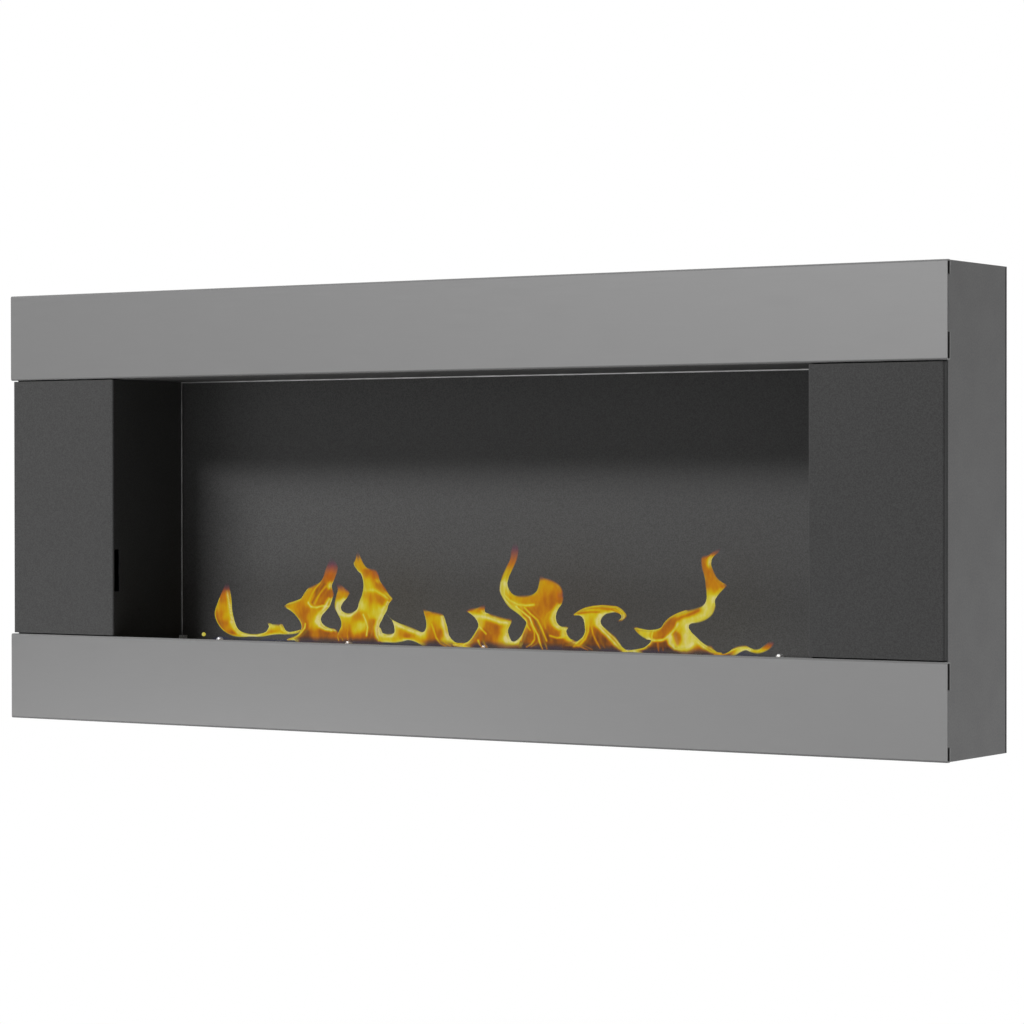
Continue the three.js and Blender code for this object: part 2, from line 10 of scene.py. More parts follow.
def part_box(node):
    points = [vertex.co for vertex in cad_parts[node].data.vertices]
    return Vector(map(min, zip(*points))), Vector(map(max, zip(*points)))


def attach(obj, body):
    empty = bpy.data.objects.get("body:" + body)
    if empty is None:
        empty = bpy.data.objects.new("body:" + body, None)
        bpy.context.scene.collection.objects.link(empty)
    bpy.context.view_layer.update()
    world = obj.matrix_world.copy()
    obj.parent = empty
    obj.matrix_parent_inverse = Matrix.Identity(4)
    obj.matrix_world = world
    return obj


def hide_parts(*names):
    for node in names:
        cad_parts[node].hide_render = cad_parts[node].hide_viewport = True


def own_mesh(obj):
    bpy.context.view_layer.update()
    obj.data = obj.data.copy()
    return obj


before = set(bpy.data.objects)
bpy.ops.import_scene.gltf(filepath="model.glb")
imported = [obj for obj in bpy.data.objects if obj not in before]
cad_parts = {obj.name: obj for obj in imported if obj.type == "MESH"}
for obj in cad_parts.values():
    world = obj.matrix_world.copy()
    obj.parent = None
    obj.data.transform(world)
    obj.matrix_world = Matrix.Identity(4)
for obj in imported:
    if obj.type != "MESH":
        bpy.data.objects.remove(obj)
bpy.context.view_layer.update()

bl_info = {
    "name": "Bioethanol fireplace",
    "version": (1, 0, 0),
    "blender": (4, 5, 0),
    "location": "View3D > Sidebar > Fireplace",
    "description": "Finishes a sheet-metal bioethanol fireplace and lights its burner",
    "category": "Object",
}

MM = 0.001

# ---- places taken from the frame ----

FIT = 0.3 * MM  # gap that the sheet-metal pieces keep
FLAME_SLOT_INSET = 10  # from the tank's front to the slot that the flames stand in, in millimetres
FLAME_SLOT_WIDTH = 18
shutter_low, shutter_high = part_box("flame_shutter")
tank_low, tank_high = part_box("burner_tank")
gauze_low, gauze_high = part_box("fibre_gauze")
pad_low, pad_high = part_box("ceramic_fibre_pad")
nut_low, nut_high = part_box("dome_nut_1")
washer_low, washer_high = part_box("guide_washer_1")
deck_top = shutter_low.z - FIT
slot_middle = tank_low.y + (FLAME_SLOT_INSET + FLAME_SLOT_WIDTH / 2) * MM
GUIDES = range(1, 6)


def middle(node):
    """The middle of a CAD node's box."""
    low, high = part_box(node)
    return (low + high) / 2


# ---- colours and nodes ----

WHITE = (1, 1, 1, 1)


def linear(hex_colour):
    """An sRGB hex colour as the linear RGBA that shaders use."""
    channels = [int(hex_colour[i:i + 2], 16) / 255 for i in (1, 3, 5)]
    return (*[c / 12.92 if c <= 0.04045 else ((c + 0.055) / 1.055) ** 2.4 for c in channels], 1.0)


def add(tree, kind, settings=None, links=None):
    """Adds a node; settings name its inputs or properties, links bring other nodes' sockets to its inputs."""
    node = tree.nodes.new(kind)
    for key, value in (settings or {}).items():
        if isinstance(key, int) or key in node.inputs:
            node.inputs[key].default_value = value
        else:
            setattr(node, key, value)
    for key, socket in (links or {}).items():
        tree.links.new(socket, node.inputs[key])
    return node


def new_material(name, **surface):
    """A material with one Principled shader, whose constants are given by the shader's own names."""
    material = bpy.data.materials.new(name)
    material.use_nodes = True
    tree = material.node_tree
    shader = tree.nodes["Principled BSDF"]
    for key, value in surface.items():
        shader.inputs[key.replace("_", " ")].default_value = value
    return material, tree, shader


def grain(tree, size, stretch=(1, 1, 1), detail=2.0, roughness=0.5):
    """Noise in lumps about size metres across, fixed to the object.
    A stretch under 1 draws the lumps out along that axis."""
    place = add(tree, "ShaderNodeTexCoord")
    mapped = add(tree, "ShaderNodeMapping", {"Scale": stretch}, {"Vector": place.outputs["Object"]})
    settings = {"Scale": 1 / size, "Detail": detail, "Roughness": roughness}
    return add(tree, "ShaderNodeTexNoise", settings, {"Vector": mapped.outputs[0]}).outputs["Fac"]


NOISE_ENDS = {"From Min": 0.3, "From Max": 0.7}  # noise seldom leaves this range


def tint(tree, shader, colour, lumps, low, high):
    """Colours a surface, made low to high times as light by the noise."""
    light = add(tree, "ShaderNodeMapRange", {**NOISE_ENDS, "To Min": low, "To Max": high}, {"Value": lumps})
    shaded = add(tree, "ShaderNodeHueSaturation", {"Color": colour}, {"Value": light.outputs[0]})
    tree.links.new(shaded.outputs[0], shader.inputs["Base Color"])


def roughen(tree, shader, lumps, low, high):
    """Varies a surface's roughness from low to high with the noise."""
    rough = add(tree, "ShaderNodeMapRange", {**NOISE_ENDS, "To Min": low, "To Max": high}, {"Value": lumps})
    tree.links.new(rough.outputs[0], shader.inputs["Roughness"])


def emboss(tree, shader, lumps, depth):
    """Raises the noise on a surface, depth metres deep."""
    relief = add(tree, "ShaderNodeBump", {"Strength": 1.0, "Distance": depth}, {"Height": lumps})
    tree.links.new(relief.outputs[0], shader.inputs["Normal"])


def set_stops(ramp, stops):
    """Gives a colour ramp its stops, each a position and a hex colour."""
    elements = ramp.color_ramp.elements
    while len(elements) < len(stops):
        elements.new(0.5)
    for element, (position, colour) in zip(elements, stops):
        element.position = position
        element.color = linear(colour)


# ---- materials ----


def satin_powder_coat(finish):
    """Polyester powder coat on steel sheet, baked to a satin with the faint orange peel of a cured powder."""
    material, tree, shader = new_material("satin_grey_powder_coat", Roughness=0.48, Specular_IOR_Level=0.3)
    tint(tree, shader, finish.casing, grain(tree, 1.6 * MM, detail=1.0), 0.88, 1.12)
    roughen(tree, shader, grain(tree, 30 * MM), 0.45, 0.52)
    emboss(tree, shader, grain(tree, 2.2 * MM), 0.02 * MM)
    return material


def belt_lines(tree):
    """Lines of a fine belt along the sheet, 0.1 mm apart; drawn 0.7 mm apart, so that they just show."""
    return grain(tree, 0.7 * MM, stretch=(0.012, 1, 1), detail=3.0)


def satin_steel(finish):
    """Stainless steel sheet, satin finished by a fine belt along its length and lacquered:
    a soft, even sheen."""
    material, tree, shader = new_material("satin_stainless_sheet", Metallic=1.0, Roughness=0.42)
    lines = belt_lines(tree)
    tint(tree, shader, finish.band, lines, 0.985, 1.015)
    roughen(tree, shader, lines, 0.40, 0.44)
    emboss(tree, shader, lines, 0.004 * MM)
    return material


def fold_with_painted_sheen(finish):
    """A band's folds that slope to the front: matt, so they show no glint, and tinted lighter as a painted
    sheen.
    """
    material, tree, shader = new_material("matt_fold_painted_sheen", Metallic=1.0, Roughness=0.9)
    tint(tree, shader, finish.band, belt_lines(tree), 1.12, 1.18)
    return material


def sandy_black(name, base):
    """A matt black skin of grains about 0.5 mm across, drawn at 1.1 mm, that sparkle dully."""
    material, tree, shader = new_material(name, Roughness=0.62, Specular_IOR_Level=0.12)
    sand = grain(tree, 1.1 * MM, detail=1.0)
    tint(tree, shader, base, sand, 0.78, 1.22)
    roughen(tree, shader, sand, 0.56, 0.70)
    emboss(tree, shader, sand, 0.06 * MM)
    return material


def sand_black_coat(finish):
    """Fine-texture powder coat of the columns, whose coarse powder bakes to a sandy matt black."""
    return sandy_black("sand_texture_black_powder_coat", finish.black)


def sand_black_painted_lighter(finish):
    """The columns' sandy black with a lighter base on the firebox lining: painted light on the back and
    ceiling.
    """
    return sandy_black("sand_black_painted_light", finish.lining)


def rim_painted_highlight(finish):
    """The front faces of the firebox back's rim in light metal: a painted highlight, the bright line along
    its edge.
    """
    material, tree, shader = new_material("rim_painted_highlight_metal", Metallic=1.0, Roughness=0.6)
    tint(tree, shader, finish.edge, grain(tree, 14 * MM, detail=3.0), 0.85, 1.15)
    return material


def brushed_steel(finish):
    """Mill-brushed stainless sheet of the burner: lines along its length, 0.2 mm apart, drawn at 0.5 mm."""
    settings = {"Metallic": 1.0, "Roughness": 0.3, "Anisotropic": 0.4}
    material, tree, shader = new_material("brushed_stainless_steel", **settings)
    lines = grain(tree, 0.5 * MM, stretch=(0.02, 1, 1), detail=4.0)
    tint(tree, shader, finish.stainless, lines, 0.92, 1.06)
    roughen(tree, shader, lines, 0.22, 0.38)
    emboss(tree, shader, lines, 0.01 * MM)
    return material


def heat_stained_steel(finish):
    """The gauze over the fibre: stainless wire gone straw and blue where the flame touches it."""
    material, tree, shader = new_material("heat_stained_steel_wire", Metallic=1.0, Roughness=0.38)
    stain = add(tree, "ShaderNodeValToRGB", links={"Fac": grain(tree, 40 * MM)})
    set_stops(stain, ((0.35, "#8C7A5A"), (0.65, "#5C6675")))
    tree.links.new(stain.outputs[0], shader.inputs["Base Color"])
    return material


def nickel_chrome(finish):
    """Nickel-chrome plate of bought fasteners, barrel polished in bulk: bright, but hazy from end to end."""
    material, tree, shader = new_material("barrel_polished_nickel_chrome", Metallic=1.0, Roughness=0.42)
    tint(tree, shader, finish.chrome, grain(tree, 2 * MM), 0.96, 1.0)
    roughen(tree, shader, grain(tree, 3 * MM), 0.38, 0.46)
    return material


def zinc_plate(finish):
    """Bright zinc plate with its clear passivation, a little clouded."""
    material, tree, shader = new_material("passivated_zinc_plate", Metallic=1.0, Roughness=0.35)
    cloud = grain(tree, 6 * MM, detail=4.0)
    tint(tree, shader, finish.zinc, cloud, 0.85, 1.1)
    roughen(tree, shader, cloud, 0.28, 0.45)
    return material


def ceramic_blanket(finish):
    """Needled alumina-silica fibre blanket: matt white, with loose fibres and a little scorch."""
    material, tree, shader = new_material("ceramic_fibre_blanket", Roughness=1.0, Sheen_Weight=0.3)
    fibres = grain(tree, 0.8 * MM, stretch=(0.25, 1, 1), detail=5.0, roughness=0.7)
    tint(tree, shader, finish.fibre, fibres, 0.86, 1.04)
    emboss(tree, shader, fibres, 0.4 * MM)
    return material


def clear_gas(name):
    """A material for gas: clear air, and a veil whose inputs 0 and 2 take its cover and its glow."""
    material, tree, shader = new_material(name)
    tree.nodes.remove(shader)
    air = add(tree, "ShaderNodeBsdfTransparent")
    veil = add(tree, "ShaderNodeMixShader", links={1: air.outputs[0]})
    tree.links.new(veil.outputs[0], tree.nodes["Material Output"].inputs["Surface"])
    return material, tree, veil


FLAME_COLOURS = (
    (0.00, "#4A2F28"),  # the clear root, where only a little soot glows
    (0.16, "#704626"),
    (0.34, "#A5601C"),
    (0.48, "#B97A18"),
    (0.63, "#C29814"),
    (0.77, "#C5B01C"),
    (0.89, "#CBC048"),
    (1.00, "#D6CC88"),  # the thin bright skin where soot burns
)
COOLING_COLOURS = ((0.5, "#BC5A1C"), (1.0, "#7C2F54"))


def burning_vapour(finish):
    """A soot-lit ethanol flame: yellow where it burns, orange within, red to violet where it cools.
    The attribute "fire" holds heat, cooling and thickness of the fire."""
    material, tree, veil = clear_gas("burning_ethanol_vapour")
    fire = add(tree, "ShaderNodeAttribute", {"attribute_name": "fire"})
    parts = add(tree, "ShaderNodeSeparateColor", links={"Color": fire.outputs["Color"]})
    heat, cooling, cover = parts.outputs
    limits = {**NOISE_ENDS, "To Min": -0.07, "To Max": 0.07}
    wisps = add(tree, "ShaderNodeMapRange", limits, {"Value": grain(tree, 5 * MM, stretch=(1, 1, 0.4))})
    links = {0: heat, 1: wisps.outputs[0]}
    stirred = add(tree, "ShaderNodeMath", {"operation": "ADD", "use_clamp": True}, links)
    hot = add(tree, "ShaderNodeValToRGB", links={"Fac": stirred.outputs[0]})
    set_stops(hot, FLAME_COLOURS)
    cool = add(tree, "ShaderNodeValToRGB", links={"Fac": cooling})
    set_stops(cool, COOLING_COLOURS)
    links = {0: cooling, 6: hot.outputs[0], 7: cool.outputs[0]}
    mix = add(tree, "ShaderNodeMix", {"data_type": "RGBA"}, links)
    glow = add(tree, "ShaderNodeEmission", {"Strength": finish.flame_glow}, {"Color": mix.outputs[2]})
    tree.links.new(cover, veil.inputs[0])
    tree.links.new(glow.outputs[0], veil.inputs[2])
    return material


def clear_root(finish):
    """The blue root of an ethanol flame, where no soot glows: almost clear."""
    material, tree, veil = clear_gas("clear_blue_flame_root")
    glow = add(tree, "ShaderNodeEmission", {"Color": linear("#1B2A66"), "Strength": finish.flame_glow})
    veil.inputs[0].default_value = 0.08
    tree.links.new(glow.outputs[0], veil.inputs[2])
    return material


def pale_floor(stage):
    """A pale studio floor that fades to the white backdrop well away from the object."""
    material, tree, shader = new_material("pale_studio_floor", Base_Color=stage.floor, Roughness=0.7)
    white = add(tree, "ShaderNodeEmission", {"Color": WHITE, "Strength": 1.0})
    place = add(tree, "ShaderNodeTexCoord")
    radius = add(tree, "ShaderNodeVectorMath", {"operation": "LENGTH"}, {0: place.outputs["Object"]})
    fade = {
        "From Min": 0.5 * stage.floor_radius, "From Max": 0.95 * stage.floor_radius,
        "interpolation_type": "SMOOTHSTEP",
    }
    edge = add(tree, "ShaderNodeMapRange", fade, {"Value": radius.outputs["Value"]})
    path = add(tree, "ShaderNodeLightPath")
    links = {0: edge.outputs[0], 1: path.outputs["Is Camera Ray"]}
    seen = add(tree, "ShaderNodeMath", {"operation": "MULTIPLY"}, links)
    links = {0: seen.outputs[0], 1: shader.outputs[0], 2: white.outputs[0]}
    mix = add(tree, "ShaderNodeMixShader", links=links)
    tree.links.new(mix.outputs[0], tree.nodes["Material Output"].inputs["Surface"])
    return material


MATERIAL_NAMES = {}


def finished(maker, settings):
    """The material that a maker function makes, made once."""
    made = bpy.data.materials.get(MATERIAL_NAMES.get(maker, ""))
    if made is None:
        made = maker(settings)
        MATERIAL_NAMES[maker] = made.name
    return made


def paint(material, *nodes):
    """Gives CAD nodes a material."""
    for name in nodes:
        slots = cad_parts[name].data.materials
        slots.clear()
        slots.append(material)


# ---- meshes ----


def mesh_of(name, bm, rounded=True):
    """Turns a bmesh into a mesh, shaded smooth if rounded, and frees it."""
    mesh = bpy.data.meshes.new(name)
    bm.to_mesh(mesh)
    bm.free()
    if rounded:
        mesh.shade_smooth()
    return mesh


def new_piece(name, mesh, material=None):
    """An object at the origin in the scene."""
    piece = bpy.data.objects.new(name, mesh)
    bpy.context.scene.collection.objects.link(piece)
    if material:
        mesh.materials.append(material)
    return piece


def smooth(mesh, angle=math.radians(35)):
    """Rounds the shading except over edges sharper than angle."""
    mesh.shade_smooth()
    mesh.set_sharp_from_angle(angle=angle)


def sheet_of_two_finishes(node, main, other, picks, cut=None):
    """Stands in for a sheet-metal CAD piece of the casing. The faces that picks chooses have the other
    finish; a cut is a height at which faces are first divided."""
    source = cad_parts[node]
    bm = bmesh.new()
    bm.from_mesh(source.data)
    bm.transform(source.matrix_world)
    bmesh.ops.remove_doubles(bm, verts=bm.verts, dist=0.001 * MM)
    if cut is not None:
        everything = [*bm.verts, *bm.edges, *bm.faces]
        bmesh.ops.bisect_plane(bm, geom=everything, plane_co=(0, 0, cut), plane_no=(0, 0, 1))
    for face in bm.faces:
        face.material_index = int(picks(face))
    sheet = new_piece(node + "_sheet", mesh_of(node + "_sheet", bm, rounded=False), main)
    sheet.data.materials.append(other)
    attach(sheet, "casing")
    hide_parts(node)


def geometry_tree(name, inputs):
    """An empty Geometry Nodes tree with named inputs; returns it with its input and output nodes."""
    tree = bpy.data.node_groups.new(name, "GeometryNodeTree")
    tree.interface.new_socket("Geometry", in_out="INPUT", socket_type="NodeSocketGeometry")
    for label, kind in inputs.items():
        tree.interface.new_socket(label, in_out="INPUT", socket_type=kind)
    tree.interface.new_socket("Geometry", in_out="OUTPUT", socket_type="NodeSocketGeometry")
    return tree, add(tree, "NodeGroupInput"), add(tree, "NodeGroupOutput")


def close_tree(tree, end, source, geometry):
    """Ends a tree in Realize Instances and Set Material."""
    real = add(tree, "GeometryNodeRealizeInstances", links={"Geometry": geometry})
    links = {"Geometry": real.outputs[0], "Material": source.outputs["Material"]}
    painted = add(tree, "GeometryNodeSetMaterial", links=links)
    tree.links.new(painted.outputs[0], end.inputs[0])


def grow(name, tree, values, places):
    """Runs a tree on a mesh of places and returns the result as a plain mesh object."""
    seed = bpy.data.meshes.new(name + "_places")
    seed.from_pydata([tuple(p) for p in places], [], [])
    piece = new_piece(name, seed)
    modifier = piece.modifiers.new("pattern", "NODES")
    modifier.node_group = tree
    for item in tree.interface.items_tree:
        if item.in_out == "INPUT" and item.name in values:
            modifier[item.identifier] = values[item.name]
    evaluated = piece.evaluated_get(bpy.context.evaluated_depsgraph_get())
    mesh = bpy.data.meshes.new_from_object(evaluated)
    piece.modifiers.remove(modifier)
    piece.data = mesh
    mesh.name = name
    bpy.data.meshes.remove(seed)
    return piece


FLOAT = "NodeSocketFloat"
INT = "NodeSocketInt"
MATERIAL = "NodeSocketMaterial"
SIZES_OF_NUT = {"Across flats": FLOAT, "Hexagon height": FLOAT, "Dome height": FLOAT, "Material": MATERIAL}
SIZES_OF_WASHER = {
    "Bore radius": FLOAT, "Width": FLOAT, "Thickness": FLOAT, "Edge": FLOAT, "Material": MATERIAL,
}
SIZES_OF_GAUZE = {
    "Length": FLOAT, "Width": FLOAT, "Cross wires": INT, "Long wires": INT, "Wire radius": FLOAT,
    "Material": MATERIAL,
}
DOME_RADIUS = 0.47  # of a nut, as a share of its width across flats
WELDED = 0.85  # how far a wire's middle lies off the gauze's, in wire radii


def dome_nut_tree():
    """Domed nuts on given places: a dome on a chamfered hexagon."""
    tree, source, end = geometry_tree("dome_nuts", SIZES_OF_NUT)
    across, hexagon, dome = (source.outputs[n] for n in ("Across flats", "Hexagon height", "Dome height"))
    part = {}
    for name, size, factor in (
        ("corner", across, 1 / math.sqrt(3)),
        ("chamfer foot", across, 0.86),  # the cone that takes the hexagon's corners off
        ("chamfer top", across, 0.485),
        ("ball", across, DOME_RADIUS),
        ("half down", hexagon, -0.5),
        ("half up", hexagon, 0.5),
    ):
        part[name] = add(tree, "ShaderNodeMath", {"operation": "MULTIPLY", 1: factor}, {0: size}).outputs[0]
    links = {"Radius": part["corner"], "Depth": hexagon}
    prism = add(tree, "GeometryNodeMeshCylinder", {"Vertices": 6}, links)
    links = {"Radius Bottom": part["chamfer foot"], "Radius Top": part["chamfer top"], "Depth": hexagon}
    cone = add(tree, "GeometryNodeMeshCone", {"Vertices": 64}, links)
    down = add(tree, "ShaderNodeCombineXYZ", links={"Z": part["half down"]})
    links = {"Geometry": cone.outputs["Mesh"], "Translation": down.outputs[0]}
    cutter = add(tree, "GeometryNodeTransform", links=links)
    chamfered = add(tree, "GeometryNodeMeshBoolean", {"operation": "INTERSECT", "solver": "EXACT"})
    for geometry in (prism.outputs["Mesh"], cutter.outputs[0]):
        tree.links.new(geometry, chamfered.inputs[1])
    up = add(tree, "ShaderNodeCombineXYZ", links={"Z": part["half up"]})
    links = {"Geometry": chamfered.outputs["Mesh"], "Translation": up.outputs[0]}
    body = add(tree, "GeometryNodeTransform", links=links)

    ball = add(tree, "GeometryNodeMeshUVSphere", {"Segments": 48, "Rings": 24}, {"Radius": part["ball"]})
    squat = add(tree, "ShaderNodeMath", {"operation": "DIVIDE"}, {0: dome, 1: part["ball"]})
    stretch = add(tree, "ShaderNodeCombineXYZ", {"X": 1, "Y": 1}, {"Z": squat.outputs[0]})
    top = add(tree, "ShaderNodeCombineXYZ", links={"Z": hexagon})
    links = {"Geometry": ball.outputs["Mesh"], "Translation": top.outputs[0], "Scale": stretch.outputs[0]}
    cap = add(tree, "GeometryNodeTransform", links=links)
    nut = add(tree, "GeometryNodeMeshBoolean", {"operation": "UNION", "solver": "EXACT"})
    for geometry in (body.outputs[0], cap.outputs[0]):
        tree.links.new(geometry, nut.inputs[1])
    links = {"Points": source.outputs["Geometry"], "Instance": nut.outputs["Mesh"]}
    placed = add(tree, "GeometryNodeInstanceOnPoints", links=links)
    close_tree(tree, end, source, placed.outputs[0])
    return tree


def washer_tree():
    """Flat washers on given places: a rounded rectangle swept round a circle."""
    tree, source, end = geometry_tree("washers", SIZES_OF_WASHER)
    bore, width, thickness, edge = (source.outputs[n] for n in ("Bore radius", "Width", "Thickness", "Edge"))
    half = add(tree, "ShaderNodeMath", {"operation": "MULTIPLY", 1: 0.5}, {0: width})
    radius = add(tree, "ShaderNodeMath", {"operation": "ADD"}, {0: bore, 1: half.outputs[0]})
    path = add(tree, "GeometryNodeCurvePrimitiveCircle", {"Resolution": 64}, {"Radius": radius.outputs[0]})
    links = {"Width": width, "Height": thickness}
    section = add(tree, "GeometryNodeCurvePrimitiveQuadrilateral", links=links)
    rounded = add(
        tree, "GeometryNodeFilletCurve", {"mode": "POLY", "Count": 3, "Limit Radius": True},
        {"Curve": section.outputs[0], "Radius": edge},
    )
    links = {"Curve": path.outputs[0], "Profile Curve": rounded.outputs[0]}
    ring = add(tree, "GeometryNodeCurveToMesh", links=links)
    links = {"Points": source.outputs["Geometry"], "Instance": ring.outputs[0]}
    placed = add(tree, "GeometryNodeInstanceOnPoints", links=links)
    close_tree(tree, end, source, placed.outputs[0])
    return tree


def gauze_tree():
    """Welded wire gauze: cross wires lying on long wires."""
    tree, source, end = geometry_tree("wire_gauze", SIZES_OF_GAUZE)
    length, width, radius = (source.outputs[n] for n in ("Length", "Width", "Wire radius"))

    def wires(count, span, reach, turn, level):
        """count wires, each span long, spread over reach; turn is their direction's Euler angles."""
        wire = add(tree, "GeometryNodeMeshCylinder", {"Vertices": 8}, {"Radius": radius, "Depth": span})
        laid = add(tree, "GeometryNodeTransform", {"Rotation": turn}, {"Geometry": wire.outputs["Mesh"]})
        half = add(tree, "ShaderNodeMath", {"operation": "MULTIPLY", 1: 0.5}, {0: reach})
        minus = add(tree, "ShaderNodeMath", {"operation": "MULTIPLY", 1: -0.5}, {0: reach})
        height = add(tree, "ShaderNodeMath", {"operation": "MULTIPLY", 1: level}, {0: radius})
        axis = "X" if turn[0] else "Y"
        start = add(tree, "ShaderNodeCombineXYZ", links={axis: minus.outputs[0], "Z": height.outputs[0]})
        stop = add(tree, "ShaderNodeCombineXYZ", links={axis: half.outputs[0], "Z": height.outputs[0]})
        row = add(
            tree, "GeometryNodeMeshLine", {"mode": "END_POINTS"},
            {"Count": count, "Start Location": start.outputs[0], "Offset": stop.outputs[0]},
        )
        links = {"Points": row.outputs[0], "Instance": laid.outputs[0]}
        return add(tree, "GeometryNodeInstanceOnPoints", links=links).outputs[0]

    # crossing wires are pressed a little into each other where they are welded
    across = wires(source.outputs["Cross wires"], width, length, (math.pi / 2, 0, 0), WELDED)
    along = wires(source.outputs["Long wires"], length, width, (0, math.pi / 2, 0), -WELDED)
    join = add(tree, "GeometryNodeJoinGeometry")
    for geometry in (across, along):
        tree.links.new(geometry, join.inputs[0])
    links = {"Points": source.outputs["Geometry"], "Instance": join.outputs[0]}
    placed = add(tree, "GeometryNodeInstanceOnPoints", links=links)
    close_tree(tree, end, source, placed.outputs[0])
    return tree


def ride_burner(piece, *stands_for, slot):
    """Makes a piece part of the burner in place of CAD nodes."""
    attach(piece, "burner")
    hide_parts(*stands_for)


# ---- flames ----

